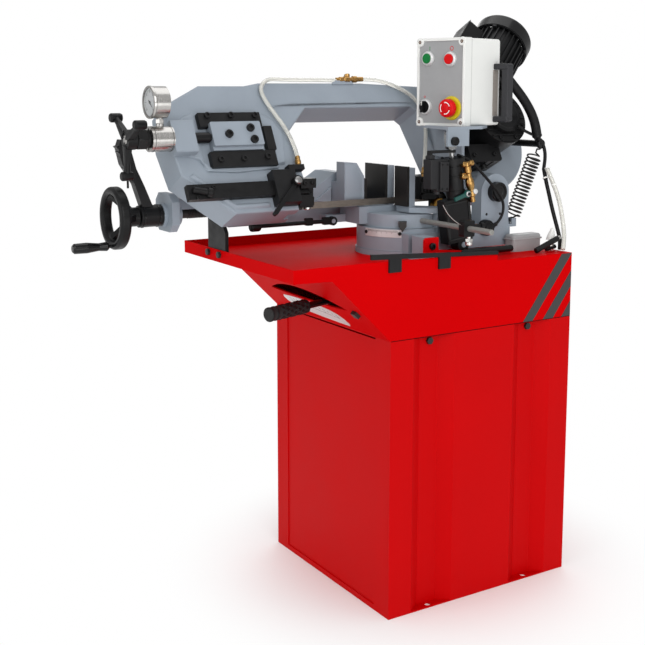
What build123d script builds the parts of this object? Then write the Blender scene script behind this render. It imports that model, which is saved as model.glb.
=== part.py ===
from build123d import *
import os
from math import sin, cos, tan, radians, sqrt

os.makedirs("parts", exist_ok=True)

# ---------------------------------------------------------------- dimensions
# cabinet and tray
cab_x, cab_y, cab_h = 496.0, 472.0, 600.0
sheet = 2.0
ch_mid, ch_top, ch_bot, ch_deep = 136.0, 108.0, 48.0, 20.0
bolt_x, bolt_y, bolt_r = 274.0, 450.0, 7.0
tray_x0, tray_x1, tray_y0, tray_y1 = -476.0, 248.0, -236.0, 258.0
tray_floor, tray_rim = 745.0, 767.0
slope_x = -389.0
slope_z = 738.0
# swivel
sw_x, sw_y = -58.0, -8.0
drum_r, drum_z0, drum_z1, arm_z1 = 103.0, 757.4, 806.0, 797.0
post_r = 28.0
# bow plane and wheels
tilt = 27.0
blade_y, blade_z = -8.0, 861.0
idler_x, drive_x, wheel_s, wheel_r = -468.0, 168.0, 134.0, 123.9
band_in, band_t, band_w = 124.1, 0.9, 14.0
bow_back, bow_front, wall = -34.5, 40.0, 6.0
house_r = 142.0
# bow pivot
piv_x, piv_z, piv_r = 115.0, 880.0, 15.0
# tension unit
ten_s, ten_n = 142.0, 52.0
# motor axis, in the bow plane
mot_x, mot_s, mot_n, mot_ux, mot_us = 49.65, 120.65, 106.0, 0.7071, 0.7071
# vise
vise_y, screw_z, screw_r = 115.0, 846.0, 10.0
rail_hw, rail_z0, rail_z1 = 18.0, 857.0, 881.0
face_x, bed_z = -90.0, 850.0
wheel_x, hand_r = -695.0, 56.5
# feed cylinder
fc_bx, fc_bz, fc_y = 0.0, 772.0, -144.0
fc_ax, fc_az = -30.0, 998.0
# control box
box_c = (-6.5, -77.0, 1123.5)
box_w, box_h, box_d = 130.0, 190.0, 130.0

run = 0.06  # radial running fit

# ---------------------------------------------------------------- planes
ca, sa = cos(radians(tilt)), sin(radians(tilt))
BOW = Plane(origin=(0, blade_y, blade_z), x_dir=(1, 0, 0), z_dir=(0, -ca, sa))


def bow_pt(x, s, n):
    return (x, blade_y + sa * s - ca * n, blade_z + ca * s + sa * n)


def bow_at(n, x=0.0, s=0.0):
    return Plane(origin=bow_pt(x, s, n), x_dir=(1, 0, 0), z_dir=(0, -ca, sa))


def along_x(x, y, z):
    return Plane(origin=(x, y, z), x_dir=(0, 1, 0), z_dir=(1, 0, 0))


def along_y(x, y, z):
    return Plane(origin=(x, y, z), x_dir=(1, 0, 0), z_dir=(0, -1, 0))


def level(z, x=0.0, y=0.0):
    return Plane(origin=(x, y, z), x_dir=(1, 0, 0), z_dir=(0, 0, 1))


# square cross plane of the bow at station x: local x is -n, local y is s
def bow_cross(x, s, n):
    return Plane(origin=bow_pt(x, s, n), x_dir=(0, ca, -sa), z_dir=(1, 0, 0))


def motor_at(t):
    return Plane(
        origin=bow_pt(mot_x + mot_ux * t, mot_s + mot_us * t, mot_n),
        x_dir=(0, -ca, sa),
        z_dir=(mot_ux, mot_us * sa, mot_us * ca),
    )


# sloping operator panel: local x is Y, local y runs down the slope
SLOPE = Plane(origin=(slope_x, 0, slope_z), x_dir=(0, 1, 0), z_dir=(-0.6995, 0, -0.7147))
# control face: local x to the right, local y up, z towards the operator
FACE = Plane(origin=box_c, x_dir=(0.239, -0.971, 0), z_dir=(-0.971, -0.239, 0))
# feed cylinder: z along the cylinder
fl = sqrt((fc_ax - fc_bx) ** 2 + (fc_az - fc_bz) ** 2)
fx, fz = (fc_ax - fc_bx) / fl, (fc_az - fc_bz) / fl
FEED = Plane(origin=(fc_bx, fc_y, fc_bz), x_dir=(fz, 0, -fx), z_dir=(fx, 0, fz))

# ================================================================ stand
hx, hy = cab_x / 2, cab_y / 2
c0, c1, c2, c3 = ch_mid - ch_top / 2, ch_mid - ch_bot / 2, ch_mid + ch_bot / 2, ch_mid + ch_top / 2
yi = hy - ch_deep
plan_pts = [
    (-hx, -hy), (-c3, -hy), (-c2, -yi), (-c1, -yi), (-c0, -hy),
    (c0, -hy), (c1, -yi), (c2, -yi), (c3, -hy), (hx, -hy),
    (hx, hy), (c3, hy), (c2, yi), (c1, yi), (c0, hy),
    (-c0, hy), (-c1, yi), (-c2, yi), (-c3, hy), (-hx, hy),
]

# folded cabinet with a foot plate, upright channels and an inner top flange
with BuildPart() as cabinet_shell:
    with BuildSketch(level(3)):
        with BuildLine():
            Polyline(*plan_pts, close=True)
        make_face()
    extrude(amount=cab_h - 3)
    with BuildSketch(level(3)):
        with BuildLine():
            Polyline(*plan_pts, close=True)
        make_face()
        offset(amount=-sheet, kind=Kind.INTERSECTION)
    extrude(amount=cab_h - 6, mode=Mode.SUBTRACT)
    with BuildSketch(level(cab_h - 3)):
        Rectangle(430, 400)
    extrude(amount=3, mode=Mode.SUBTRACT)
    with BuildSketch(level(0)):
        Rectangle(cab_x, cab_y)
        Rectangle(370, 340, mode=Mode.SUBTRACT)
        with GridLocations(bolt_x, bolt_y, 2, 2):
            Circle(bolt_r, mode=Mode.SUBTRACT)
    extrude(amount=3)
    with BuildSketch(along_x(-hx - 1, 2.5, 305)):
        Rectangle(367, 586)
    extrude(amount=4, mode=Mode.SUBTRACT)
cabinet_shell.part.label = "cabinet_shell"
export_step(cabinet_shell.part, "parts/cabinet_shell.step")

# recessed access panel on the operator side
with BuildPart() as front_panel:
    with BuildSketch(along_x(-hx + sheet, 2.5, 302)):
        RectangleRounded(390, 584, 3)
    extrude(amount=sheet)
front_panel.part.label = "front_panel"
export_step(front_panel.part, "parts/front_panel.step")

# drip tray with its base box, rim and sloping operator panel
with BuildPart() as drip_tray:
    with BuildSketch(along_y(0, tray_y0, 0)):
        with BuildLine():
            Polyline(
                (-hx, cab_h), (hx, cab_h), (hx, 741), (30, 741), (30, 757), (-150, 765),
                (-300, tray_rim), (tray_x0, tray_rim), (tray_x0, 740), (slope_x, slope_z), close=True,
            )
        make_face()
    extrude(amount=-sheet)
    with BuildSketch(along_y(0, hy, 0)):
        with BuildLine():
            Polyline((-hx, cab_h), (hx, cab_h), (hx, 742), (slope_x, 742), (slope_x, slope_z), close=True)
        make_face()
    extrude(amount=sheet)
    with BuildSketch(level(741)):
        with Locations(((tray_x0 + tray_x1) / 2, (tray_y0 + tray_y1) / 2)):
            Rectangle(tray_x1 - tray_x0, tray_y1 - tray_y0)
    extrude(amount=tray_floor - 741)
    with BuildSketch(along_y(0, tray_y1, 0)):
        with Locations(((tray_x0 + tray_x1) / 2, (741 + tray_rim) / 2)):
            Rectangle(tray_x1 - tray_x0, tray_rim - 741)
    extrude(amount=sheet)
    with BuildSketch(along_x(tray_x0, 0, 0)):
        with Locations(((tray_y0 + tray_y1) / 2, (740 + tray_rim) / 2)):
            Rectangle(tray_y1 - tray_y0, tray_rim - 740)
    extrude(amount=sheet)
    with BuildSketch(along_x(hx - sheet, 0, 0)):
        with Locations((0, (cab_h + 742) / 2)):
            Rectangle(cab_y, 742 - cab_h)
    extrude(amount=sheet)
    with BuildSketch(along_y(0, -hy, 0)):
        with BuildLine():
            Polyline((slope_x, slope_z), (-hx, cab_h), (-hx + 3, cab_h), (slope_x + 3, slope_z + 3.5),
                     (slope_x, slope_z + 3.5), close=True)
        make_face()
    extrude(amount=-cab_y)
    with BuildSketch(level(cab_h)):
        Rectangle(cab_x - 1, cab_y - 1)
        Rectangle(440, 410, mode=Mode.SUBTRACT)
    extrude(amount=2)
    with BuildSketch(SLOPE.offset(4)):
        with BuildLine():
            ThreePointArc((-168, 112), (-8, 72), (152, 112))
            ThreePointArc((152, 112), (-8, 120), (-168, 112))
        make_face()
    extrude(amount=-9, mode=Mode.SUBTRACT)
drip_tray.part.label = "drip_tray"
export_step(drip_tray.part, "parts/drip_tray.step")

# black brackets on the tray: rim bar with two tabs, forked support of the vise rail
with BuildPart() as tray_brackets:
    with BuildSketch(along_y(0, tray_y0, 0)):
        with BuildLine():
            Polyline((-300, 773), (28, 759), (28, 766), (-300, 784), close=True)
        make_face()
        with Locations((-241, 760), (-115.5, 757)):
            Rectangle(30, 33)
    extrude(amount=5)
    with BuildSketch(along_x(-474, 0, 0)):
        with BuildLine():
            Polyline(
                (55, tray_floor), (138, tray_floor), (138, 857), (127, 857), (127, 834), (103, 834),
                (103, 857), (92, 857), (55, 806), close=True,
            )
        make_face()
    extrude(amount=8)
tray_brackets.part.label = "tray_brackets"
export_step(tray_brackets.part, "parts/tray_brackets.step")

# bolts of the cabinet, the sloping panel and the tray lip, and the angle pointer on the bed ring
pa = radians(234.7)
POINT = Plane(
    origin=(sw_x + 92 * cos(pa), sw_y + 92 * sin(pa), 806.4),
    x_dir=(-sin(pa), cos(pa), 0), z_dir=(cos(pa), sin(pa), 0),
)
with BuildPart() as stand_hardware:
    with BuildSketch(POINT.offset(1)):
        with Locations((0, 12)):
            Rectangle(18, 10)
    extrude(amount=17)
    with BuildSketch(POINT.offset(14)):
        with BuildLine():
            Polyline((-9, 17), (9, 17), (9, 7), (0, -5.5), (-9, 7), close=True)
        make_face()
    extrude(amount=4)
    with BuildSketch(level(806, sw_x, sw_y)):
        Circle(92)
    extrude(amount=32, mode=Mode.SUBTRACT)
    with BuildSketch(along_y(0, -yi, 0)):
        with Locations((-ch_mid, 586), (ch_mid, 586)):
            RegularPolygon(8, 6)
    extrude(amount=6)
    with BuildSketch(along_y(0, yi, 0)):
        with Locations((-ch_mid, 586), (ch_mid, 586)):
            RegularPolygon(8, 6)
    extrude(amount=-6)
    with BuildSketch(SLOPE):
        with Locations((-203, 111)):
            Rectangle(15, 15)
    extrude(amount=8)
    with BuildSketch(along_x(tray_x0, 0, 0)):
        with Locations((131, 757), (78, 757)):
            RegularPolygon(7.5, 6)
    extrude(amount=-6)
stand_hardware.part.label = "stand_hardware"
export_step(stand_hardware.part, "parts/stand_hardware.step")

# base flange and centre post that carry the turntable and the vise bed
with BuildPart() as swivel_post:
    with BuildSketch(level(tray_floor, sw_x, sw_y)):
        Circle(105.5)
    extrude(amount=12)
    with BuildSketch(level(757, sw_x, sw_y)):
        Circle(post_r)
    extrude(amount=806.4 - 757)
    # lug and stud of the lock lever
    with BuildSketch(level(tray_floor)):
        with Locations((-104, -126)):
            Rectangle(32, 92)
    extrude(amount=12)
    with BuildSketch(level(757)):
        with Locations((-104, -151.5)):
            Rectangle(32, 41)
    extrude(amount=40)
    with BuildSketch(along_y(-104, -171, 779)):
        Circle(10)
    extrude(amount=2.5)
    with BuildSketch(along_y(-104, -171, 779)):
        Circle(6)
    extrude(amount=11)
swivel_post.part.label = "swivel_post"
export_step(swivel_post.part, "parts/swivel_post.step")

# vise bed: ring on the post, web, fixed jaw, rail and end block
with BuildPart() as vise_bed:
    with BuildSketch(level(806.4, sw_x, sw_y)):
        Circle(92)
        with Locations((68, 0)):
            Rectangle(100, 200, mode=Mode.SUBTRACT)
    extrude(amount=836 - 806.4)
    with BuildSketch(level(812)):
        with BuildLine():
            Polyline((-172, -4), (-48, -4), (-48, 140), (-150, 140), (-150, 76), (-172, 76), close=True)
        make_face()
    extrude(amount=bed_z - 812)
    with BuildSketch(level(bed_z - 1)):
        with Locations((-74, vise_y)):
            Rectangle(44, 2 * rail_hw)
        with Locations((-75, 55)):
            Rectangle(18, 84)
    extrude(amount=rail_z1 - bed_z + 1)
    with BuildSketch(level(bed_z)):
        with Locations((-75, 55)):
            Rectangle(18, 84)
    extrude(amount=88)
    with BuildSketch(along_y(0, 60, 0)):
        with BuildLine():
            Polyline((-66.5, 850), (-50, 850), (-66.5, 920), close=True)
        make_face()
    extrude(amount=-10)
    with BuildSketch(along_x(-570, 0, 0)):
        with Locations((vise_y, (rail_z0 + rail_z1) / 2)):
            Rectangle(2 * rail_hw, rail_z1 - rail_z0)
    extrude(amount=500)
    # near web of the rail, and the lug and stud of the ball-knob lever
    with BuildSketch(level(812)):
        with Locations((-296.5, 100)):
            Rectangle(297, 6)
    extrude(amount=45.5)
    with BuildSketch(level(812)):
        with Locations((-197, 64)):
            Rectangle(54, 24)
    extrude(amount=17)
    with BuildSketch(along_y(-212, 53, 817)):
        Circle(5)
    extrude(amount=14.5)
    # end block: eight-sided flange with a boss
    with BuildSketch(along_x(-587, vise_y, 852)):
        with BuildLine():
            Polyline((-43, -24), (-27, -40), (27, -40), (43, -24), (43, 24), (27, 40), (-27, 40), (-43, 24), close=True)
        make_face()
    extrude(amount=17)
    with BuildSketch(along_x(-595, vise_y, screw_z)):
        Circle(24)
    extrude(amount=40)
    with BuildSketch(along_x(-600, vise_y, screw_z)):
        Circle(screw_r + run)
    extrude(amount=60, mode=Mode.SUBTRACT)
    with BuildSketch(along_y(-70, -60, 823)):
        Circle(6.02)
    extrude(amount=60, mode=Mode.SUBTRACT)
vise_bed.part.label = "vise_bed"
export_step(vise_bed.part, "parts/vise_bed.step")

with BuildPart() as fixed_jaw_plate:
    with BuildSketch(along_x(face_x, 0, 0)):
        with Locations((54.8, 896)):
            Rectangle(83, 88)
    extrude(amount=6)
fixed_jaw_plate.part.label = "fixed_jaw_plate"
export_step(fixed_jaw_plate.part, "parts/fixed_jaw_plate.step")

with BuildPart() as stop_rod:
    with BuildSketch(along_y(-70, -60.2, 823)):
        Circle(6)
    extrude(amount=273)
    chamfer(stop_rod.faces().sort_by(Axis.Y)[0].edges(), 1)
stop_rod.part.label = "stop_rod"
export_step(stop_rod.part, "parts/stop_rod.step")

with BuildPart() as pump_body:
    with BuildSketch(level(tray_floor)):
        with Locations((180, -148)):
            RectangleRounded(84, 34, 8)
    extrude(amount=38)
    fillet(pump_body.faces().sort_by(Axis.Z)[-1].edges(), 6)
pump_body.part.label = "pump_body"
export_step(pump_body.part, "parts/pump_body.step")

# stop clamp on the rod
with BuildPart() as stop_clamp:
    with BuildSketch(along_y(-70, -244, 823)):
        RectangleRounded(28, 34, 4)
        Circle(6 + run, mode=Mode.SUBTRACT)
    extrude(amount=18)
    with BuildSketch(along_x(-57, -253, 826)):
        Circle(4)
    extrude(amount=24)
    with BuildSketch(along_x(-34, -253, 826)):
        Circle(7)
    extrude(amount=8)
stop_clamp.part.label = "stop_clamp"
export_step(stop_clamp.part, "parts/stop_clamp.step")

# ================================================================ swivel clamp lever
la = radians(-161.2)
LEVER = Plane(origin=(sw_x, sw_y, 668), x_dir=(0, 0, 1), z_dir=(cos(la), sin(la), 0))
with BuildPart() as clamp_lever:
    with BuildSketch(level(650, sw_x, sw_y)):
        Circle(24)
    extrude(amount=36)
    with BuildSketch(level(680, sw_x, sw_y)):
        Circle(14)
    extrude(amount=60.4)
    with BuildSketch(LEVER):
        Circle(7)
    extrude(amount=448)
clamp_lever.part.label = "clamp_lever"
export_step(clamp_lever.part, "parts/clamp_lever.step")

with BuildPart() as clamp_grip:
    with BuildSketch(LEVER.offset(338)):
        Circle(13.5)
    extrude(amount=116)
    fillet(clamp_grip.edges().filter_by(GeomType.CIRCLE), 4)
    with BuildSketch(LEVER.offset(336)):
        Circle(7)
    extrude(amount=112, mode=Mode.SUBTRACT)
clamp_grip.part.label = "clamp_grip"
export_step(clamp_grip.part, "parts/clamp_grip.step")

# ================================================================ swivel
with BuildPart() as swivel_arm:
    with BuildSketch(level(drum_z0, sw_x, sw_y)):
        Circle(drum_r)
    extrude(amount=drum_z1 - drum_z0)
    with BuildSketch(level(drum_z0)):
        with BuildLine():
            Polyline(
                (-118, -60), (-118, -115), (20, -115), (20, -126), (160, -126), (160, -20),
                (40, 60), (-58, 60), close=True,
            )
        make_face()
    extrude(amount=arm_z1 - drum_z0)
    with BuildSketch(level(drum_z0 - 1, sw_x, sw_y)):
        Circle(post_r + run)
    extrude(amount=60, mode=Mode.SUBTRACT)
    # stud of the feed cylinder
    with BuildSketch(along_y(fc_bx, -114, fc_bz)):
        Circle(11)
    extrude(amount=13.5)
    with BuildSketch(along_y(fc_bx, -120, fc_bz)):
        Circle(6)
    extrude(amount=40)
swivel_arm.part.label = "swivel_arm"
export_step(swivel_arm.part, "parts/swivel_arm.step")

with BuildPart() as column:
    with BuildSketch(along_y(0, -91, 0)):
        with Locations((piv_x, (arm_z1 + piv_z) / 2)):
            Rectangle(80, piv_z - arm_z1)
        with Locations((piv_x, piv_z)):
            Circle(40)
        with Locations((piv_x - 3, arm_z1 + 6)):
            Rectangle(90, 12)
        with Locations((piv_x, piv_z)):
            Circle(piv_r, mode=Mode.SUBTRACT)
    extrude(amount=34)
    # clevis and bolt that hold the lower end of the balance spring
    with BuildSketch(level(arm_z1)):
        with Locations((165.5, -111.6)):
            Rectangle(31, 23)
    extrude(amount=6)
    with BuildSketch(level(arm_z1)):
        with Locations((174.5, -102), (174.5, -121.2)):
            Rectangle(13, 3.8)
    extrude(amount=19)
    with BuildSketch(along_y(176, -100.1, 812)):
        Circle(3)
    extrude(amount=23)
column.part.label = "column"
export_step(column.part, "parts/column.step")

with BuildPart() as pivot_shaft:
    with BuildSketch(along_y(piv_x, -57, piv_z)):
        Circle(piv_r)
    extrude(amount=68)
    with BuildSketch(along_y(piv_x, -125, piv_z)):
        Circle(22)
    extrude(amount=14)
    fillet(pivot_shaft.faces().sort_by(Axis.Y)[0].edges(), 3)
pivot_shaft.part.label = "pivot_shaft"
export_step(pivot_shaft.part, "parts/pivot_shaft.step")

# outfeed fence: foot on the arm, bracket over the bed ring, upright
with BuildPart() as fence:
    with BuildSketch(level(arm_z1)):
        with Locations((-22, -104)):
            Rectangle(32, 18)
    extrude(amount=42)
    with BuildSketch(level(arm_z1 - 1, sw_x, sw_y)):
        Circle(drum_r + 0.1)
    extrude(amount=drum_z1 - arm_z1 + 1, mode=Mode.SUBTRACT)
    with BuildSketch(level(838)):
        with BuildLine():
            Polyline((-84, -70), (-84, -22), (-60, -22), (-6, -88), (-6, -113), (-38, -113), close=True)
        make_face()
    extrude(amount=12)
    with BuildSketch(level(849)):
        with Locations((-76, -46)):
            Rectangle(16, 46)
    extrude(amount=88)
fence.part.label = "fence"
export_step(fence.part, "parts/fence.step")

with BuildPart() as fence_plate:
    with BuildSketch(along_x(face_x, 0, 0)):
        with Locations((-46, 896)):
            Rectangle(48, 88)
    extrude(amount=6)
fence_plate.part.label = "fence_plate"
export_step(fence_plate.part, "parts/fence_plate.step")

# red lock lever and its round grip
with BuildPart() as lock_lever:
    with BuildSketch(along_y(0, -174, 0)):
        with BuildLine():
            Polyline((-123, 763), (-118, 759), (-24, 751), (-18, 763), (-86, 770), (-86, 797), (-118, 797), (-123, 792), close=True)
        make_face()
        with Locations((-104, 779)):
            Circle(6 + run, mode=Mode.SUBTRACT)
    extrude(amount=6)
lock_lever.part.label = "lock_lever"
export_step(lock_lever.part, "parts/lock_lever.step")

with BuildPart() as lock_grip:
    with BuildSketch(along_x(-24, -177, 757.5)):
        Circle(7.5)
    extrude(amount=146)
    fillet(lock_grip.faces().sort_by(Axis.X)[-1].edges(), 3)
    with BuildSketch(along_y(0, -173, 0)):
        with BuildLine():
            Polyline((-40, 745), (-15, 745), (-15, 770), (-40, 770), close=True)
        make_face()
    extrude(amount=8, mode=Mode.SUBTRACT)
lock_grip.part.label = "lock_grip"
export_step(lock_grip.part, "parts/lock_grip.step")

# ================================================================ feed cylinder
VALVE = Plane(origin=FEED.from_local_coords((12, -10, 112)), x_dir=FEED.x_dir, z_dir=(0, -1, 0))
with BuildPart() as feed_cylinder:
    with BuildSketch(FEED.offset(8)):
        with Locations((-7, 0)):
            RectangleRounded(70, 30, 4)
    extrude(amount=95)
    with BuildSketch(FEED.offset(103)):
        Circle(20)
    extrude(amount=76)
    with BuildSketch(FEED.offset(179)):
        Circle(27)
    extrude(amount=12)
    with BuildSketch(along_y(fc_bx, fc_y + 14, fc_bz)):
        Circle(15)
    extrude(amount=28)
    with BuildSketch(along_y(fc_bx, fc_y + 16, fc_bz)):
        Circle(6 + run)
    extrude(amount=32, mode=Mode.SUBTRACT)
    # valve stem on the front of the cylinder
    with BuildSketch(VALVE):
        Circle(8)
    extrude(amount=14)
    with BuildSketch(VALVE):
        Circle(4)
    extrude(amount=24)
    with BuildSketch(FEED.offset(70)):
        Circle(6 + run)
    extrude(amount=130, mode=Mode.SUBTRACT)
feed_cylinder.part.label = "feed_cylinder"
export_step(feed_cylinder.part, "parts/feed_cylinder.step")

with BuildPart() as valve_lever:
    with BuildSketch(VALVE.offset(14.6)):
        Circle(8)
        with Locations((-17, -3)):
            Rectangle(38, 8, rotation=10)
        Circle(4 + run, mode=Mode.SUBTRACT)
    extrude(amount=5)
valve_lever.part.label = "valve_lever"
export_step(valve_lever.part, "parts/valve_lever.step")

# piston rod with a slotted eye
with BuildPart() as feed_rod:
    with BuildSketch(FEED.offset(90)):
        Circle(6)
    extrude(amount=fl - 100)
    with BuildSketch(Plane(origin=FEED.from_local_coords((0, 6, fl)), x_dir=FEED.x_dir, z_dir=(0, -1, 0))):
        with Locations((0, 2)):
            RectangleRounded(24, 40, 8)
        with Locations((0.55, 2.6)):
            SlotCenterToCenter(6, 12, rotation=90, mode=Mode.SUBTRACT)
    extrude(amount=12)
feed_rod.part.label = "feed_rod"
export_step(feed_rod.part, "parts/feed_rod.step")

# ================================================================ balance spring
sp_bot, sp_top = (176.0, -111.6, 812.0), (255.0, -111.6, 983.0)
sl = sqrt((sp_top[0] - sp_bot[0]) ** 2 + (sp_top[2] - sp_bot[2]) ** 2)
SPRING = Plane(origin=sp_bot, x_dir=(0, -1, 0), z_dir=((sp_top[0] - sp_bot[0]) / sl, 0, (sp_top[2] - sp_bot[2]) / sl))
with BuildPart() as balance_spring:
    with BuildLine() as coil:
        Helix(pitch=8.6, height=148, radius=12.9, center=SPRING.offset(10).origin, direction=SPRING.z_dir)
    with BuildSketch(Plane(origin=coil.line @ 0, z_dir=coil.line % 0)):
        Circle(2.1)
    sweep(path=coil.line, is_frenet=True)
    with BuildSketch(SPRING.offset(8.5)):
        Circle(14)
    extrude(amount=3)
    with BuildSketch(SPRING.offset(156.5)):
        Circle(14)
    extrude(amount=3)
    with BuildSketch(SPRING.offset(4)):
        Circle(2.5)
    extrude(amount=6)
    with BuildSketch(SPRING.offset(158)):
        Circle(2.5)
    extrude(amount=sl - 11.5 - 158)
    # eye on the bolt of the column, ring on the bow's pin
    with BuildSketch(along_y(176, -107.6, 812)):
        Circle(6)
        Circle(3 + run, mode=Mode.SUBTRACT)
    extrude(amount=8)
    with BuildSketch(level(sp_top[2], sp_top[0], sp_top[1])):
        with Locations((11.5, 0)):
            Circle(2.2)
    revolve(axis=Axis(sp_top, (0, 1, 0)))
balance_spring.part.label = "balance_spring"
export_step(balance_spring.part, "parts/balance_spring.step")

# ================================================================ bow
arc_mid = radians(10)
arc_a, arc_b = radians(112), radians(-92)


def house(a):
    return (drive_x + house_r * cos(a), wheel_s + house_r * sin(a))


left_pts = [(60, -14), (46, 20), (46, 49), (20, 200), (8, 212), (-277, 212), (-332, 157), (-324, 50), (-354, 50),
            (-354, -22), (-503, -22), (-603, 66), (-614, 146), (-606, 222), (-521, 266), (-414, 266), (-378, 273), (-113, 273), (60, 264)]

with BuildPart() as bow_casting:
    with BuildSketch(bow_at(bow_back)):
        with BuildLine():
            Polyline(*left_pts)
            Line(left_pts[-1], house(arc_a))
            ThreePointArc(house(arc_a), house(arc_mid), house(arc_b))
            Line(house(arc_b), left_pts[0])
        make_face()
    extrude(amount=bow_front - bow_back)
    fillet(bow_casting.faces().sort_by(Axis(bow_pt(0, 0, 0), (0, -ca, sa)))[-1].edges(), 4)
    # hollow from the back: wheel housings and the channel in the beam
    with BuildSketch(bow_at(bow_back)):
        with BuildLine():
            Polyline(*left_pts)
            Line(left_pts[-1], house(arc_a))
            ThreePointArc(house(arc_a), house(arc_mid), house(arc_b))
            Line(house(arc_b), left_pts[0])
        make_face()
        offset(amount=-5, kind=Kind.INTERSECTION)
    extrude(amount=bow_front - bow_back - wall, mode=Mode.SUBTRACT)
    # ways for the blade through the legs
    with BuildSketch(bow_at(-14)):
        with Locations((-356, -4), (53, -2)):
            Rectangle(24, 40)
    extrude(amount=28, mode=Mode.SUBTRACT)
    # slot for the idler axle and hole for the drive shaft
    with BuildSketch(bow_at(20)):
        with Locations((idler_x + 4, wheel_s)):
            SlotOverall(58, 42)
        with Locations((drive_x, wheel_s)):
            Circle(24)
    extrude(amount=30, mode=Mode.SUBTRACT)
    # boss of the tension screw
    with BuildSketch(bow_cross(-614.6, ten_s, ten_n)):
        with Locations((-0.5, 0)):
            RectangleRounded(27, 70, 4)
        Circle(11 + run, mode=Mode.SUBTRACT)
    extrude(amount=49)
    # lug of the bow pivot
    with BuildSketch(along_y(piv_x, -30, piv_z)):
        Circle(31)
    extrude(amount=60.5)
    with BuildSketch(bow_at(bow_back)):
        with Locations((piv_x, 0)):
            Rectangle(90, 120)
    extrude(amount=bow_front - bow_back - wall, mode=Mode.SUBTRACT)
    with BuildSketch(bow_at(bow_back)):
        with Locations((piv_x, -12)):
            Rectangle(110, 4)
    extrude(amount=bow_front - bow_back - 2)
    with BuildSketch(along_y(piv_x, -56, piv_z)):
        Circle(piv_r + run)
    extrude(amount=60, mode=Mode.SUBTRACT)
bow_casting.part.label = "bow_casting"
export_step(bow_casting.part, "parts/bow_casting.step")

# back cover over both wheel housings and the beam
with BuildPart() as back_cover:
    with BuildSketch(bow_at(-36.5)):
        with BuildLine():
            Polyline(*left_pts)
            Line(left_pts[-1], house(arc_a))
            ThreePointArc(house(arc_a), house(arc_mid), house(arc_b))
            Line(house(arc_b), left_pts[0])
        make_face()
        offset(amount=-1, kind=Kind.INTERSECTION)
    extrude(amount=2)
back_cover.part.label = "back_cover"
export_step(back_cover.part, "parts/back_cover.step")

# endless blade: flat on the wheels, turned upright between the guides
bo = band_in + band_t
strand = wheel_s - band_in - band_t / 2
TW_A = Plane(origin=bow_pt(idler_x, strand, 0), x_dir=(0, ca, -sa), z_dir=(1, 0, 0))
TW_B = Plane(origin=(-352, blade_y, blade_z), x_dir=(0, 0, -1), z_dir=(1, 0, 0))
TW_C = Plane(origin=(14, blade_y, blade_z), x_dir=(0, 0, -1), z_dir=(1, 0, 0))
TW_D = Plane(origin=bow_pt(drive_x, strand, 0), x_dir=(0, ca, -sa), z_dir=(1, 0, 0))
with BuildPart() as saw_blade:
    with BuildSketch(bow_at(-band_w / 2)):
        with BuildLine():
            ThreePointArc((idler_x, wheel_s + bo), (idler_x - bo, wheel_s), (idler_x, wheel_s - bo))
            Line((idler_x, wheel_s - bo), (idler_x, wheel_s - band_in))
            ThreePointArc((idler_x, wheel_s - band_in), (idler_x - band_in, wheel_s), (idler_x, wheel_s + band_in))
            Line((idler_x, wheel_s + band_in), (drive_x, wheel_s + band_in))
            ThreePointArc((drive_x, wheel_s + band_in), (drive_x + band_in, wheel_s), (drive_x, wheel_s - band_in))
            Line((drive_x, wheel_s - band_in), (drive_x, wheel_s - bo))
            ThreePointArc((drive_x, wheel_s - bo), (drive_x + bo, wheel_s), (drive_x, wheel_s + bo))
            Line((drive_x, wheel_s + bo), (idler_x, wheel_s + bo))
        make_face()
    extrude(amount=band_w)
    with BuildSketch(TW_A, TW_B) as tw_left:
        Rectangle(band_w, band_t)
    loft(ruled=True)
    with BuildSketch(TW_B):
        Rectangle(band_w, band_t)
    extrude(amount=366)
    with BuildSketch(TW_C, TW_D) as tw_right:
        Rectangle(band_w, band_t)
    loft(ruled=True)
saw_blade.part.label = "saw_blade"
export_step(saw_blade.part, "parts/saw_blade.step")

# worm gearbox on the front of the drive housing, relieved behind the control box
with BuildPart() as gearbox:
    with BuildSketch(bow_at(bow_front, drive_x, wheel_s)):
        Circle(54)
    extrude(amount=3)
    with BuildSketch(bow_at(bow_front + 3, drive_x, wheel_s)):
        Circle(68)
    extrude(amount=105)
    with BuildSketch(bow_at(148, drive_x, wheel_s)):
        Circle(44)
    extrude(amount=12)
    with BuildSketch(motor_at(66)):
        Circle(36)
    extrude(amount=112)
    with BuildSketch(motor_at(166)):
        Circle(58)
    extrude(amount=12)
    with BuildSketch(bow_at(62, 112.5, 56.5)):
        RectangleRounded(90, 43, 8)
    extrude(amount=58)
    with BuildSketch(Plane(origin=bow_pt(115, 38, 100), x_dir=(1, 0, 0), z_dir=(0, -sa, -ca))):
        Circle(7)
    extrude(amount=14)
    with BuildSketch(FACE.offset(1)):
        Rectangle(box_w + 2, box_h + 2)
    extrude(amount=-(box_d + 2), mode=Mode.SUBTRACT)
    with BuildSketch(bow_at(bow_front - 1, drive_x, wheel_s)):
        Circle(14 + run)
    extrude(amount=46, mode=Mode.SUBTRACT)
gearbox.part.label = "gearbox"
export_step(gearbox.part, "parts/gearbox.step")

# finned motor body with terminal box
with BuildPart() as motor_body:
    with BuildSketch(motor_at(178)):
        Circle(62)
    extrude(amount=12)
    with BuildSketch(motor_at(178)):
        Circle(59)
        with PolarLocations(61.5, 30):
            Rectangle(8, 3)
    extrude(amount=124)
    with BuildSketch(motor_at(208)):
        with BuildLine():
            Polyline((-28, -56), (28, -56), (28, -102), (-28, -102), close=True)
        make_face()
    extrude(amount=71)
    with BuildSketch(motor_at(276)):
        Circle(8 + run)
    extrude(amount=30, mode=Mode.SUBTRACT)
motor_body.part.label = "motor_body"
export_step(motor_body.part, "parts/motor_body.step")

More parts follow.
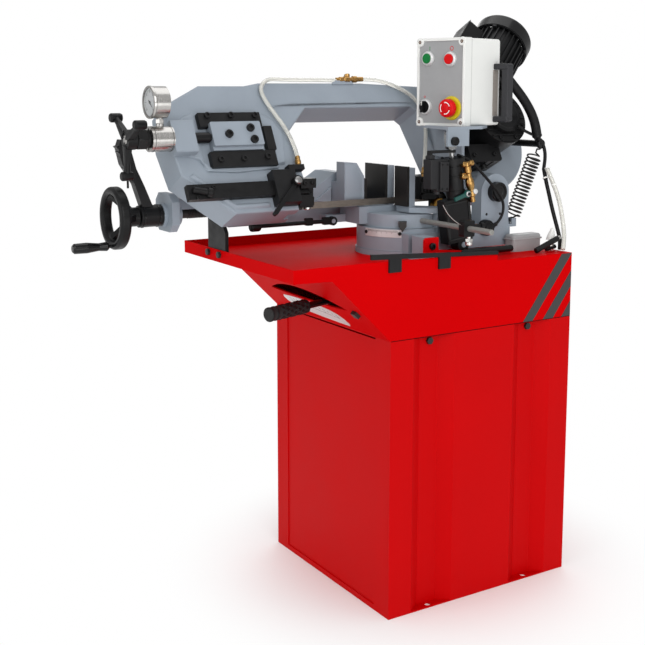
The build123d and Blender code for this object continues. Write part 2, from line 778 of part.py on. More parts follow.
# fan cowl with a round grille
with BuildPart() as motor_cowl:
    with BuildSketch(motor_at(303)):
        Circle(71)
    extrude(amount=40)
    fillet(motor_cowl.edges().filter_by(GeomType.CIRCLE).group_by(Axis(motor_at(0).origin, motor_at(0).z_dir))[-1], 9)
    with BuildSketch(motor_at(303)):
        Circle(68)
    extrude(amount=27, mode=Mode.SUBTRACT)
    with BuildSketch(motor_at(329)):
        Circle(62)
    extrude(amount=11, mode=Mode.SUBTRACT)
    with BuildSketch(motor_at(339)):
        with PolarLocations(38, 16):
            SlotOverall(34, 7)
    extrude(amount=6, mode=Mode.SUBTRACT)
    with BuildSketch(motor_at(302.4)):
        Circle(68.5)
        Circle(62, mode=Mode.SUBTRACT)
    extrude(amount=3.6)
motor_cowl.part.label = "motor_cowl"
export_step(motor_cowl.part, "parts/motor_cowl.step")

with BuildPart() as motor_fan:
    with BuildSketch(motor_at(277)):
        Circle(8)
    extrude(amount=54)
    with BuildSketch(motor_at(310)):
        Circle(54)
    extrude(amount=3)
    with BuildSketch(motor_at(312)):
        with PolarLocations(32, 8):
            Rectangle(42, 2.5)
        Circle(15)
    extrude(amount=20)
motor_fan.part.label = "motor_fan"
export_step(motor_fan.part, "parts/motor_fan.step")

# control box, open at the front, and its panel
with BuildPart() as control_box:
    with BuildSketch(FACE.offset(-3)):
        RectangleRounded(box_w, box_h, 6)
    extrude(amount=-(box_d - 3))
    fillet(control_box.faces().sort_by(Axis(box_c, (-0.971, -0.239, 0)))[0].edges(), 5)
    with BuildSketch(FACE.offset(-3)):
        RectangleRounded(box_w - 7, box_h - 7, 4)
    extrude(amount=-(box_d - 7), mode=Mode.SUBTRACT)
control_box.part.label = "control_box"
export_step(control_box.part, "parts/control_box.step")

with BuildPart() as control_panel:
    with BuildSketch(FACE.offset(-3)):
        RectangleRounded(box_w - 1, box_h - 1, 6)
        with Locations((-36, 52), (26, 50)):
            Circle(11 + run, mode=Mode.SUBTRACT)
        with Locations((-42, -54)):
            Circle(5 + run, mode=Mode.SUBTRACT)
        with Locations((31, -56)):
            Circle(8 + run, mode=Mode.SUBTRACT)
    extrude(amount=3)
    with BuildSketch(FACE):
        with Locations((-36, 52), (26, 50)):
            Circle(15)
            Circle(11 + run, mode=Mode.SUBTRACT)
    extrude(amount=2.5)
    with BuildSketch(FACE):
        with Locations((31, -56)):
            Circle(24)
            Circle(8 + run, mode=Mode.SUBTRACT)
    extrude(amount=3)
    with BuildSketch(FACE):
        with Locations((-58, 88), (58, 88), (-58, -88), (58, -88)):
            Circle(3.5)
    extrude(amount=1.5)
control_panel.part.label = "control_panel"
export_step(control_panel.part, "parts/control_panel.step")

with BuildPart() as start_button:
    with BuildSketch(FACE.offset(-12)):
        with Locations((-36, 52)):
            Circle(11)
    extrude(amount=21)
    fillet(start_button.faces().sort_by(Axis(box_c, (-0.971, -0.239, 0)))[-1].edges(), 1.5)
start_button.part.label = "start_button"
export_step(start_button.part, "parts/start_button.step")

with BuildPart() as stop_button:
    with BuildSketch(FACE.offset(-12)):
        with Locations((26, 50)):
            Circle(11)
    extrude(amount=23)
    fillet(stop_button.faces().sort_by(Axis(box_c, (-0.971, -0.239, 0)))[-1].edges(), 1.5)
stop_button.part.label = "stop_button"
export_step(stop_button.part, "parts/stop_button.step")

with BuildPart() as estop_button:
    with BuildSketch(FACE.offset(-14)):
        with Locations((31, -56)):
            Circle(8)
    extrude(amount=26)
    with BuildSketch(FACE.offset(10)):
        with Locations((31, -56)):
            Circle(20)
    extrude(amount=14)
    fillet(estop_button.faces().sort_by(Axis(box_c, (-0.971, -0.239, 0)))[-1].edges(), 5)
estop_button.part.label = "estop_button"
export_step(estop_button.part, "parts/estop_button.step")

with BuildPart() as selector_knob:
    with BuildSketch(FACE.offset(-12)):
        with Locations((-42, -54)):
            Circle(5)
    extrude(amount=14)
    with BuildSketch(FACE.offset(0.5)):
        with Locations((-42, -54)):
            Circle(13)
    extrude(amount=7)
    with BuildSketch(FACE.offset(7)):
        with Locations((-42, -54)):
            RectangleRounded(7, 25, 2)
    extrude(amount=9)
selector_knob.part.label = "selector_knob"
export_step(selector_knob.part, "parts/selector_knob.step")

# bracket from the casting that carries the control box and the feed rod's pin
with BuildPart() as front_bracket:
    with BuildSketch(along_x(38, 0, 0)):
        with Locations((-19, 992)):
            Rectangle(158, 72)
    extrude(amount=8)
    split(bisect_by=bow_at(bow_front), keep=Keep.TOP)
    with BuildSketch(along_y(0, -150.6, 0)):
        with Locations((-18, 1005)):
            Rectangle(58, 36)
    extrude(amount=6)
    with BuildSketch(level(1022.5)):
        with BuildLine():
            Polyline((-48, -157), (46, -157), (100, -110), (90, -22), (-14, -18), close=True)
        make_face()
    extrude(amount=6)
    with BuildSketch(along_y(fc_ax, -136, fc_az)):
        Circle(5)
    extrude(amount=15.5)
    with BuildSketch(along_y(fc_ax, -156.6, fc_az)):
        Circle(8)
    extrude(amount=6)
front_bracket.part.label = "front_bracket"
export_step(front_bracket.part, "parts/front_bracket.step")

# slide rails of the idler carriage with an end stop plate
with BuildPart() as tension_rails:
    with BuildSketch(bow_at(bow_front)):
        with Locations((-473.5, 181.5)):
            Rectangle(143, 31)
        with Locations((-461, 93)):
            Rectangle(150, 34)
    extrude(amount=14)
    with BuildSketch(bow_at(bow_front)):
        with Locations((-391, 138)):
            Rectangle(20, 54)
    extrude(amount=14)
tension_rails.part.label = "tension_rails"
export_step(tension_rails.part, "parts/tension_rails.step")

# tension cell drum with its pressure gauge
gy, gz = bow_pt(0, ten_s, ten_n)[1], bow_pt(0, ten_s, ten_n)[2]
with BuildPart() as tension_cell:
    with BuildSketch(along_x(-662, gy, gz)):
        Circle(25.5)
    extrude(amount=47)
    with BuildSketch(level(gz + 22, -637, gy)):
        Circle(6)
    extrude(amount=30)
    with BuildSketch(along_x(-656, gy, gz + 72)):
        Circle(31.5)
    extrude(amount=30)
    with BuildSketch(along_x(-660, gy, gz + 72)):
        Circle(31.5)
        Circle(28, mode=Mode.SUBTRACT)
    extrude(amount=4)
    with BuildSketch(along_x(-670, gy, gz)):
        Circle(11.4)
    extrude(amount=70, mode=Mode.SUBTRACT)
tension_cell.part.label = "tension_cell"
export_step(tension_cell.part, "parts/tension_cell.step")

# three-armed tension handle with its screw
with BuildPart() as tension_handle:
    with BuildSketch(along_x(-711, gy, gz)):
        Circle(20)
    extrude(amount=19)
    with BuildSketch(along_x(-694, gy, gz)):
        Circle(18)
    extrude(amount=31)
    with BuildSketch(along_x(-704, gy, gz)):
        Circle(11)
    extrude(amount=173)
    with BuildSketch(along_x(-532, gy, gz)):
        Circle(8)
    extrude(amount=30)
    for arm_a in (35, 155, 275):
        with BuildSketch(Plane(origin=(-706, gy, gz), x_dir=(1, 0, 0), z_dir=(0, cos(radians(arm_a)), sin(radians(arm_a))))):
            Circle(6.5)
        extrude(amount=70)
        with Locations((-706, gy + 72 * cos(radians(arm_a)), gz + 72 * sin(radians(arm_a)))):
            Cylinder(8, 24, rotation=(0, 90, 0))
tension_handle.part.label = "tension_handle"
export_step(tension_handle.part, "parts/tension_handle.step")

# idler carriage with the axle of the idler wheel
with BuildPart() as tension_carriage:
    with BuildSketch(bow_at(bow_front + 0.4)):
        with Locations((-469.5, 138)):
            Rectangle(115, 52)
    extrude(amount=14.2)
    with BuildSketch(bow_at(bow_front + 14.5)):
        with Locations((-469.5, 145.5)):
            RectangleRounded(115, 53, 3)
    extrude(amount=9)
    with BuildSketch(bow_at(14, idler_x, wheel_s)):
        Circle(18)
    extrude(amount=28)
    with BuildSketch(bow_at(-13, idler_x, wheel_s)):
        Circle(12)
    extrude(amount=40)
    with BuildSketch(along_x(-528, gy, gz)):
        Circle(8 + run)
    extrude(amount=40, mode=Mode.SUBTRACT)
tension_carriage.part.label = "tension_carriage"
export_step(tension_carriage.part, "parts/tension_carriage.step")

with BuildPart() as idler_wheel:
    with BuildSketch(bow_at(-11, idler_x, wheel_s)):
        Circle(wheel_r)
    extrude(amount=22)
    with BuildSketch(bow_at(5, idler_x, wheel_s)):
        Circle(112)
        Circle(30, mode=Mode.SUBTRACT)
    extrude(amount=8, mode=Mode.SUBTRACT)
    with BuildSketch(bow_at(-13, idler_x, wheel_s)):
        Circle(112)
        Circle(30, mode=Mode.SUBTRACT)
    extrude(amount=8, mode=Mode.SUBTRACT)
    with BuildSketch(bow_at(-13, idler_x, wheel_s)):
        Circle(12 + run)
        with PolarLocations(72, 5):
            Circle(18)
    extrude(amount=26, mode=Mode.SUBTRACT)
idler_wheel.part.label = "idler_wheel"
export_step(idler_wheel.part, "parts/idler_wheel.step")

with BuildPart() as drive_wheel:
    with BuildSketch(bow_at(-11, drive_x, wheel_s)):
        Circle(wheel_r)
    extrude(amount=22)
    with BuildSketch(bow_at(5, drive_x, wheel_s)):
        Circle(112)
        Circle(30, mode=Mode.SUBTRACT)
    extrude(amount=8, mode=Mode.SUBTRACT)
    with BuildSketch(bow_at(-13, drive_x, wheel_s)):
        Circle(112)
        Circle(30, mode=Mode.SUBTRACT)
    extrude(amount=8, mode=Mode.SUBTRACT)
    with BuildSketch(bow_at(-13, drive_x, wheel_s)):
        with PolarLocations(72, 5):
            Circle(18)
    extrude(amount=26, mode=Mode.SUBTRACT)
    with BuildSketch(bow_at(-11, drive_x, wheel_s)):
        Circle(14)
    extrude(amount=94)
drive_wheel.part.label = "drive_wheel"
export_step(drive_wheel.part, "parts/drive_wheel.step")

# bracket round the guide arm, with the stud of the clamp lever
with BuildPart() as guide_bracket:
    with BuildSketch(bow_cross(-412, 0, 0)):
        with BuildLine():
            Polyline(
                (-bow_front, -13), (-66, -13), (-66, 60), (-bow_front, 60), (-bow_front, 41),
                (-57, 41), (-57, 7), (-bow_front, 7), close=True,
            )
        make_face()
    extrude(amount=54)
    with BuildSketch(bow_at(65, -364, 29)):
        Circle(5)
    extrude(amount=16)
    # block of the left coolant nipple
    with BuildSketch(bow_at(48, -352, 64.5)):
        Rectangle(38, 11)
    extrude(amount=18)
guide_bracket.part.label = "guide_bracket"
export_step(guide_bracket.part, "parts/guide_bracket.step")

with BuildPart() as guide_lever:
    with BuildSketch(bow_at(66.5, -364, 29)):
        Circle(11)
        with Locations((-34, -33.5)):
            SlotOverall(104, 9, rotation=44.6)
        Circle(5 + run, mode=Mode.SUBTRACT)
    extrude(amount=9)
    with BuildSketch(bow_at(66.5, -364, 29)):
        Circle(11)
        Circle(5 + run, mode=Mode.SUBTRACT)
    extrude(amount=14)
guide_lever.part.label = "guide_lever"
export_step(guide_lever.part, "parts/guide_lever.step")

# sliding guide arm with the left blade guide head
with BuildPart() as guide_arm:
    with BuildSketch(bow_at(42)):
        with Locations((-467.5, 24)):
            Rectangle(275, 32)
    extrude(amount=14)
    with BuildSketch(level(862)):
        with Locations((-334.25, -20)):
            Rectangle(36.5, 50)
    extrude(amount=46)
    with BuildSketch(level(904)):
        with Locations((-334.25, -41.5)):
            Rectangle(36.5, 31)
    extrude(amount=20)
    with BuildSketch(level(861)):
        with Locations((-334.25, blade_y)):
            Rectangle(40, 2)
    extrude(amount=8, mode=Mode.SUBTRACT)
guide_arm.part.label = "guide_arm"
export_step(guide_arm.part, "parts/guide_arm.step")

# fixed right blade guide with the arm of the wire brush
with BuildPart() as right_guide:
    with BuildSketch(level(862)):
        with Locations((-9, -9)):
            Rectangle(42, 58)
    extrude(amount=52)
    with BuildSketch(level(861)):
        with Locations((-9, blade_y)):
            Rectangle(46, 2)
    extrude(amount=8, mode=Mode.SUBTRACT)
    with BuildSketch(bow_cross(10, 0, 0)):
        with Locations((-16, 35)):
            Rectangle(28, 26)
    extrude(amount=36)
    with BuildSketch(along_y(0, -13, 0)):
        with Locations((24, 860)):
            RectangleRounded(24.2, 52, 2)
    extrude(amount=8)
    with BuildSketch(along_y(28, -20, 844)):
        Circle(3)
    extrude(amount=18)
right_guide.part.label = "right_guide"
export_step(right_guide.part, "parts/right_guide.step")

with BuildPart() as wire_brush:
    with BuildSketch(along_y(28, -22, 844)):
        Circle(17)
        Circle(3 + run, mode=Mode.SUBTRACT)
    extrude(amount=14)
wire_brush.part.label = "wire_brush"
export_step(wire_brush.part, "parts/wire_brush.step")

# pin on the casting that holds the upper end of the balance spring
with BuildPart() as spring_bar:
    with BuildSketch(along_y(sp_top[0], 16, sp_top[2])):
        Circle(8)
    extrude(amount=130)
    split(bisect_by=bow_at(bow_front), keep=Keep.TOP)
    with BuildSketch(along_y(sp_top[0], -114, sp_top[2])):
        Circle(10.5)
    extrude(amount=8)
    fillet(spring_bar.faces().sort_by(Axis.Y)[0].edges(), 2)
spring_bar.part.label = "spring_bar"
export_step(spring_bar.part, "parts/spring_bar.step")

# ================================================================ hoses and cables
def bends(pts):
    rads = []
    for a, b, c in zip(pts, pts[1:], pts[2:]):
        u, v = Vector(*b) - Vector(*a), Vector(*c) - Vector(*b)
        rads.append(0.45 * min(u.length, v.length) / tan(radians(u.get_angle(v)) / 2))
    return rads


left_route = [bow_pt(*p) for p in (
    (-172, 280, 38), (-226, 281, 39), (-280, 280, 40), (-330, 280.8, 41), (-352.3, 280, 43), (-371.8, 268.8, 46),
    (-383, 249.3, 48.5), (-376, 222, 49.5), (-362, 193, 49.5), (-346, 162, 49.5), (-337, 129, 50), (-335, 97, 52.5),
    (-341, 70.5, 57))]
right_route = [bow_pt(*p) for p in (
    (-113, 281, 42), (-87, 279.5, 45), (-60, 273.5, 47), (-36, 264.5, 48), (-10, 251.5, 48.5), (12, 236, 48.5),
    (26, 214, 48.5), (31, 188, 48), (27, 160, 48), (19, 133, 48), (10, 108, 48), (0, 82, 47.5), (-9, 58, 46.5),
    (-15, 42, 45.5))]
with BuildPart() as coolant_hoses:
    with BuildLine() as left_line:
        FilletPolyline(*left_route, radius=bends(left_route))
    with BuildSketch(Plane(origin=left_line.line @ 0, z_dir=left_line.line % 0)):
        Circle(4.5)
    sweep(path=left_line.line)
    with BuildLine() as right_line:
        FilletPolyline(*right_route, radius=bends(right_route))
    with BuildSketch(Plane(origin=right_line.line @ 0, z_dir=right_line.line % 0)):
        Circle(4.5)
    sweep(path=right_line.line)
coolant_hoses.part.label = "coolant_hoses"
export_step(coolant_hoses.part, "parts/coolant_hoses.step")

conduit_route = [
    (143, -92, 1160), (158, -99, 1141), (180, -105.5, 1115), (206, -110.5, 1086), (229, -112.5, 1054),
    (243, -113, 1023), (247, -113, 1001)]
lead_route = [(190, -110.5, 1026.5), (203, -112, 1017), (219, -112.5, 1010), (231, -113, 1005.5)]
with BuildPart() as bow_cables:
    with BuildLine() as conduit_line:
        FilletPolyline(*conduit_route, radius=bends(conduit_route))
    with BuildSketch(Plane(origin=conduit_line.line @ 0, z_dir=conduit_line.line % 0)):
        Circle(11)
    sweep(path=conduit_line.line)
    with BuildLine() as lead_line:
        FilletPolyline(*lead_route, radius=bends(lead_route))
    with BuildSketch(Plane(origin=lead_line.line @ 0, z_dir=lead_line.line % 0)):
        Circle(3.5)
    sweep(path=lead_line.line)
bow_cables.part.label = "bow_cables"
export_step(bow_cables.part, "parts/bow_cables.step")

supply_route = [
    (254, -131, 927), (252, -141, 901), (251.5, -151, 876), (250.5, -167, 835), (252.5, -187, 784), (250, -196, 766),
    (242, -203, 749)]
drain_route = [
    (251, -145, 928), (260, -156, 896), (265, -166, 870), (265.5, -176, 846), (261, -193, 802), (253, -206, 773),
    (240, -216, 750)]
with BuildPart() as supply_lines:
    with BuildLine() as supply_line:
        FilletPolyline(*supply_route, radius=bends(supply_route))
    with BuildSketch(Plane(origin=supply_line.line @ 0, z_dir=supply_line.line % 0)):
        Circle(4.5)
    sweep(path=supply_line.line)
    with BuildLine() as drain_line:
        FilletPolyline(*drain_route, radius=bends(drain_route))
    with BuildSketch(Plane(origin=drain_line.line @ 0, z_dir=drain_line.line % 0)):
        Circle(5)
    sweep(path=drain_line.line)
supply_lines.part.label = "supply_lines"
export_step(supply_lines.part, "parts/supply_lines.step")

# ================================================================ vise
with BuildPart() as vise_screw:
    with BuildSketch(along_x(-668, vise_y, screw_z)):
        Circle(screw_r)
    extrude(amount=512)
vise_screw.part.label = "vise_screw"
export_step(vise_screw.part, "parts/vise_screw.step")

# handwheel with three spokes and the pin of the crank grip
with BuildPart() as handwheel:
    with BuildSketch(Plane(origin=(wheel_x, vise_y, screw_z), x_dir=(0, 1, 0), z_dir=(0, 0, 1))):
        with Locations((hand_r, 0)):
            RectangleRounded(17, 24, 7)
    revolve(axis=Axis((wheel_x, vise_y, screw_z), (1, 0, 0)))
    with BuildSketch(along_x(-668, vise_y, screw_z)):
        Circle(20)
    extrude(amount=20)
    for spoke_a in (60, 180, 300):
        with BuildSketch(Plane(origin=(0, vise_y, screw_z), x_dir=(1, 0, 0), z_dir=(0, -sin(radians(spoke_a)), cos(radians(spoke_a))))):
            with BuildLine():
                Polyline((-667, 12), (-651, 12), (-687, 55), (-700, 53), close=True)
            make_face()
        extrude(amount=6.5, both=True)
    with BuildSketch(along_x(-788, vise_y - 8, screw_z - 56)):
        Circle(4)
    extrude(amount=90)
    with BuildSketch(along_x(-680, vise_y, screw_z)):
        Circle(screw_r)
    extrude(amount=40, mode=Mode.SUBTRACT)
handwheel.part.label = "handwheel"
export_step(handwheel.part, "parts/handwheel.step")

with BuildPart() as crank_grip:
    with BuildSketch(Plane(origin=(-791, vise_y - 8, screw_z - 56), x_dir=(1, 0, 0), z_dir=(0, -1, 0))):
        with BuildLine():
            Polyline((0, 0), (0, 7), (4, 10.5), (30, 11), (55, 8), (72, 9.5), (76, 7), (76, 0), close=True)
        make_face()
    revolve(axis=Axis((-791, vise_y - 8, screw_z - 56), (1, 0, 0)))
    with BuildSketch(along_x(-788.5, vise_y - 8, screw_z - 56)):
        Circle(4 + run)
    extrude(amount=90, mode=Mode.SUBTRACT)
crank_grip.part.label = "crank_grip"
export_step(crank_grip.part, "parts/crank_grip.step")

# quick lever on its collar round the screw
with BuildPart() as quick_lever:
    with BuildSketch(along_x(-645, vise_y, screw_z)):
        Circle(23)
        Circle(screw_r + 0.5, mode=Mode.SUBTRACT)
    extrude(amount=49)
    with BuildSketch(along_y(0, vise_y + 11, 0)):
        with BuildLine():
            Polyline(
                (-683, 1007), (-689, 990), (-681, 956), (-671, 940), (-655, 914), (-638, 862), (-614, 862), (-633, 908),
                (-651, 947), (-667, 1006), close=True,
            )
        make_face()
    extrude(amount=22)
    with BuildSketch(along_x(-646, vise_y, screw_z)):
        Circle(screw_r + 0.5)
    extrude(amount=52, mode=Mode.SUBTRACT)
quick_lever.part.label = "quick_lever"
export_step(quick_lever.part, "parts/quick_lever.step")

# moving jaw: gusseted casting astride the rail, upright beside it, nut below the rail
with BuildPart() as moving_jaw:
    with BuildSketch(along_y(0, 150, 0)):
        with BuildLine():
            Polyline((-251, 851), (-152, 851), (-152, 905), (-165, 924), (-193, 924), (-251, 889), close=True)
        make_face()
    extrude(amount=88)
    with BuildSketch(along_y(0, 80, 0)):
        with BuildLine():
            Polyline((-204, 851), (-152, 851), (-152, 905), (-204, 905), close=True)
        make_face()
    extrude(amount=73)
    with BuildSketch(along_y(0, 40, 0)):
        with BuildLine():
            Polyline((-204, 900), (-152, 900), (-152, 917), (-172, 947), (-204, 949.5), close=True)
        make_face()
    extrude(amount=33)
    with BuildSketch(level(832)):
        with Locations((-228, 124.5)):
            Rectangle(48, 41)
    extrude(amount=20)
    with BuildSketch(along_x(-300, 0, 0)):
        with Locations((vise_y, (rail_z0 + rail_z1) / 2)):
            Rectangle(2 * rail_hw + 0.8, rail_z1 - rail_z0 + 0.8)
    extrude(amount=160, mode=Mode.SUBTRACT)
    with BuildSketch(level(850)):
        with Locations((-220, vise_y - 0.2)):
            Rectangle(160, 2 * rail_hw + 1.2)
    extrude(amount=7, mode=Mode.SUBTRACT)
    with BuildSketch(along_x(-300, vise_y, screw_z)):
        Circle(screw_r + run)
    extrude(amount=160, mode=Mode.SUBTRACT)
moving_jaw.part.label = "moving_jaw"
export_step(moving_jaw.part, "parts/moving_jaw.step")

with BuildPart() as moving_jaw_plate:
    with BuildSketch(along_x(-152, 0, 0)):
        with Locations((79, 882.5)):
            Rectangle(142, 59)
        with Locations((vise_y, 867.5)):
            Rectangle(2 * rail_hw + 1, 30, mode=Mode.SUBTRACT)
    extrude(amount=8)
moving_jaw_plate.part.label = "moving_jaw_plate"
export_step(moving_jaw_plate.part, "parts/moving_jaw_plate.step")

# lever with a ball knob under the bow
with BuildPart() as jaw_lever:
    with BuildSketch(along_y(-212, 49, 817)):
        Circle(10)
    extrude(amount=10)
    with BuildSketch(Plane(origin=(-216, 44, 817), x_dir=(0, 1, 0), z_dir=(-1, 0, 0))):
        Circle(4.5)
    extrude(amount=184)
    with BuildSketch(along_y(0, 48.5, 0)):
        with Locations((-274, 819), (-229, 818)):
            RectangleRounded(18, 17, 3)
    extrude(amount=9)
    with BuildSketch(Plane(origin=(-396, 44, 817), x_dir=(0, 1, 0), z_dir=(-1, 0, 0))):
        Circle(11)
    extrude(amount=24)
    fillet(jaw_lever.edges().filter_by(GeomType.CIRCLE).filter_by(lambda e: abs(e.radius - 11) < 0.01), 5)
    with BuildSketch(along_y(-212, 50, 817)):
        Circle(5 + run)
    extrude(amount=12, mode=Mode.SUBTRACT)
jaw_lever.part.label = "jaw_lever"
export_step(jaw_lever.part, "parts/jaw_lever.step")
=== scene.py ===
import bpy
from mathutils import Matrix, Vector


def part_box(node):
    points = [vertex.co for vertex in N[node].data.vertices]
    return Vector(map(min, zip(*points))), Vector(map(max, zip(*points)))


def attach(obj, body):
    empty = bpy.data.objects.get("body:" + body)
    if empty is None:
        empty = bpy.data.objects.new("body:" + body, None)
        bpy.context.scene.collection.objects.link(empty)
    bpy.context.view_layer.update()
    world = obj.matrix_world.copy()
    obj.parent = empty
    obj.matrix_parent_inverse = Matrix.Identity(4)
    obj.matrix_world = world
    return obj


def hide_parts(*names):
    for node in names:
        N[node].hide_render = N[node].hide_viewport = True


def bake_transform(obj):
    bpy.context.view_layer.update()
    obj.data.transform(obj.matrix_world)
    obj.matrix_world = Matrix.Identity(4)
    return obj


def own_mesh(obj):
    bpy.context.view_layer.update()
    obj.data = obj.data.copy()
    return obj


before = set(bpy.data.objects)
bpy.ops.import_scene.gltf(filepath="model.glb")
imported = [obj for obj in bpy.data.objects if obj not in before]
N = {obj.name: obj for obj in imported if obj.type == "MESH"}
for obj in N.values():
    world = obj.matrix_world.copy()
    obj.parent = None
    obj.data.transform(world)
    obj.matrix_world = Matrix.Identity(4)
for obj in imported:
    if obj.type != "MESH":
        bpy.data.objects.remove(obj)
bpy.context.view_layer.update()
import bpy, bmesh, math
from math import sin, cos, radians, pi, sqrt
from mathutils import Vector, Matrix

scene = bpy.context.scene
MM = 0.001

# ------------------------------------------------------------------ frames, in millimetres
TILT = radians(27.0)
CA, SA = cos(TILT), sin(TILT)


def bow(x, s, n):
    return Vector((x, -8.0 + SA * s - CA * n, 861.0 + CA * s + SA * n))


def frame_of(origin, x, z):
    """Matrix from local millimetres to the row frame in metres."""
    z = Vector(z).normalized()
    x = Vector(x)
    x = (x - z * x.dot(z)).normalized()
    y = z.cross(x)
    o = Vector(origin)
    m = Matrix(((x.x, y.x, z.x, o.x), (x.y, y.y, z.y, o.y), (x.z, y.z, z.z, o.z), (0, 0, 0, 1)))
    return Matrix.Scale(MM, 4) @ m


BOW_Z = Vector((0, -CA, SA))


def bow_at(n, x=0.0, s=0.0):
    return frame_of(bow(x, s, n), (1, 0, 0), BOW_Z)


def along_x(x, y, z):
    return frame_of((x, y, z), (0, 1, 0), (1, 0, 0))


def toward_left(x, y, z):
    return frame_of((x, y, z), (0, -1, 0), (-1, 0, 0))


def along_y(x, y, z):
    return frame_of((x, y, z), (1, 0, 0), (0, -1, 0))


def level(z, x=0.0, y=0.0):
    return frame_of((x, y, z), (1, 0, 0), (0, 0, 1))


def between(a, b, x=(0, 1, 0)):
    return frame_of(a, x, Vector(b) - Vector(a))


MOT_D = Vector((0.7071, 0.7071 * SA, 0.7071 * CA)).normalized()


def motor_at(t):
    return frame_of(bow(49.65 + 0.7071 * t, 120.65 + 0.7071 * t, 106), BOW_Z, MOT_D)


SLOPE = frame_of((-389, 0, 738), (0, 1, 0), (-0.6995, 0, -0.7147))
FACE = frame_of((-6.5, -77, 1123.5), (0.239, -0.971, 0), (-0.971, -0.239, 0))
FL = sqrt(30.0 ** 2 + 226.0 ** 2)
FX, FZ = -30.0 / FL, 226.0 / FL
FEED = frame_of((0, -144, 772), (FZ, 0, -FX), (FX, 0, FZ))
GY, GZ = bow(0, 142, 52).y, bow(0, 142, 52).z


# ------------------------------------------------------------------ materials
def srgb(r, g, b):
    def one(v):
        v = v / 255.0
        return v / 12.92 if v <= 0.04045 else ((v + 0.055) / 1.055) ** 2.4
    return (one(r), one(g), one(b), 1.0)


def shade(c, k):
    return tuple(min(1.0, v * k) for v in c[:3]) + (1.0,)


def material(name, colour, rough=0.45, metal=0.0, var=0.08, grain=9.0, bump=0.05, bump_scale=900.0,
             rough_var=0.10, coat=0.0, coat_rough=0.15, spec=0.5, stretch=(1, 1, 1), dirt=None, dirt_at=0.6,
             transmission=0.0, ior=1.5, alpha=1.0, distance=0.0004):
    m = bpy.data.materials.new(name)
    m.use_nodes = True
    nt = m.node_tree
    b = nt.nodes["Principled BSDF"]
    L = nt.links.new
    tc = nt.nodes.new("ShaderNodeTexCoord")
    mp = nt.nodes.new("ShaderNodeMapping")
    mp.inputs["Scale"].default_value = stretch
    L(tc.outputs["Object"], mp.inputs["Vector"])
    n1 = nt.nodes.new("ShaderNodeTexNoise")
    n1.inputs["Scale"].default_value = grain
    n1.inputs["Detail"].default_value = 6.0
    n1.inputs["Roughness"].default_value = 0.62
    L(mp.outputs["Vector"], n1.inputs["Vector"])
    ramp = nt.nodes.new("ShaderNodeValToRGB")
    ramp.color_ramp.elements[0].position = 0.28
    ramp.color_ramp.elements[1].position = 0.72
    ramp.color_ramp.elements[0].color = shade(colour, 1.0 - var)
    ramp.color_ramp.elements[1].color = shade(colour, 1.0 + var)
    L(n1.outputs["Fac"], ramp.inputs["Fac"])
    out = ramp.outputs["Color"]
    if dirt:
        n3 = nt.nodes.new("ShaderNodeTexNoise")
        n3.inputs["Scale"].default_value = grain * 3.1
        n3.inputs["Detail"].default_value = 8.0
        L(mp.outputs["Vector"], n3.inputs["Vector"])
        r3 = nt.nodes.new("ShaderNodeValToRGB")
        r3.color_ramp.elements[0].position = dirt_at
        r3.color_ramp.elements[1].position = dirt_at + 0.14
        L(n3.outputs["Fac"], r3.inputs["Fac"])
        mx = nt.nodes.new("ShaderNodeMix")
        mx.data_type = "RGBA"
        L(r3.outputs["Color"], mx.inputs["Factor"])
        L(out, mx.inputs["A"])
        mx.inputs["B"].default_value = dirt
        out = mx.outputs["Result"]
    L(out, b.inputs["Base Color"])
    n2 = nt.nodes.new("ShaderNodeTexNoise")
    n2.inputs["Scale"].default_value = bump_scale
    n2.inputs["Detail"].default_value = 3.0
    L(mp.outputs["Vector"], n2.inputs["Vector"])
    if rough_var > 0:
        mr = nt.nodes.new("ShaderNodeMapRange")
        mr.inputs["From Min"].default_value = 0.3
        mr.inputs["From Max"].default_value = 0.7
        mr.inputs["To Min"].default_value = max(0.02, rough - rough_var)
        mr.inputs["To Max"].default_value = min(1.0, rough + rough_var)
        L(n1.outputs["Fac"], mr.inputs["Value"])
        L(mr.outputs["Result"], b.inputs["Roughness"])
    else:
        b.inputs["Roughness"].default_value = rough
    if bump > 0:
        bp = nt.nodes.new("ShaderNodeBump")
        bp.inputs["Strength"].default_value = bump
        bp.inputs["Distance"].default_value = distance
        L(n2.outputs["Fac"], bp.inputs["Height"])
        L(bp.outputs["Normal"], b.inputs["Normal"])
    b.inputs["Metallic"].default_value = metal
    b.inputs["Specular IOR Level"].default_value = spec
    b.inputs["Coat Weight"].default_value = coat
    b.inputs["Coat Roughness"].default_value = coat_rough
    b.inputs["IOR"].default_value = ior
    b.inputs["Transmission Weight"].default_value = transmission
    b.inputs["Alpha"].default_value = alpha
    return m


RED = material("red_enamel", srgb(187, 1, 4), rough=0.44, var=0.03, grain=5.0, bump=0.08, bump_scale=520.0,
               rough_var=0.05, spec=0.045)
RED_TRAY = material("red_tray", srgb(192, 1, 4), rough=0.52, var=0.03, grain=5.0, bump=0.08, bump_scale=520.0,
                    rough_var=0.05, spec=0.012)
JOINT = material("joint_shadow", srgb(70, 2, 3), rough=0.7, var=0.10, grain=40.0, bump=0.03, rough_var=0.05, spec=0.05)
RED_BAR = material("red_bar", srgb(192, 1, 4), rough=0.42, var=0.04, grain=30.0, bump=0.08, rough_var=0.05, spec=0.05)
GREY = material("machine_grey", srgb(136, 145, 155), rough=0.46, var=0.05, grain=14.0, bump=0.22, bump_scale=260.0,
                rough_var=0.07, spec=0.35)
# darker copy of machine grey, made as painted shade for inner faces
GREY_DARK = material("machine_grey_painted_shade", srgb(104, 112, 121), rough=0.55, var=0.06, grain=14.0, bump=0.25, bump_scale=260.0)
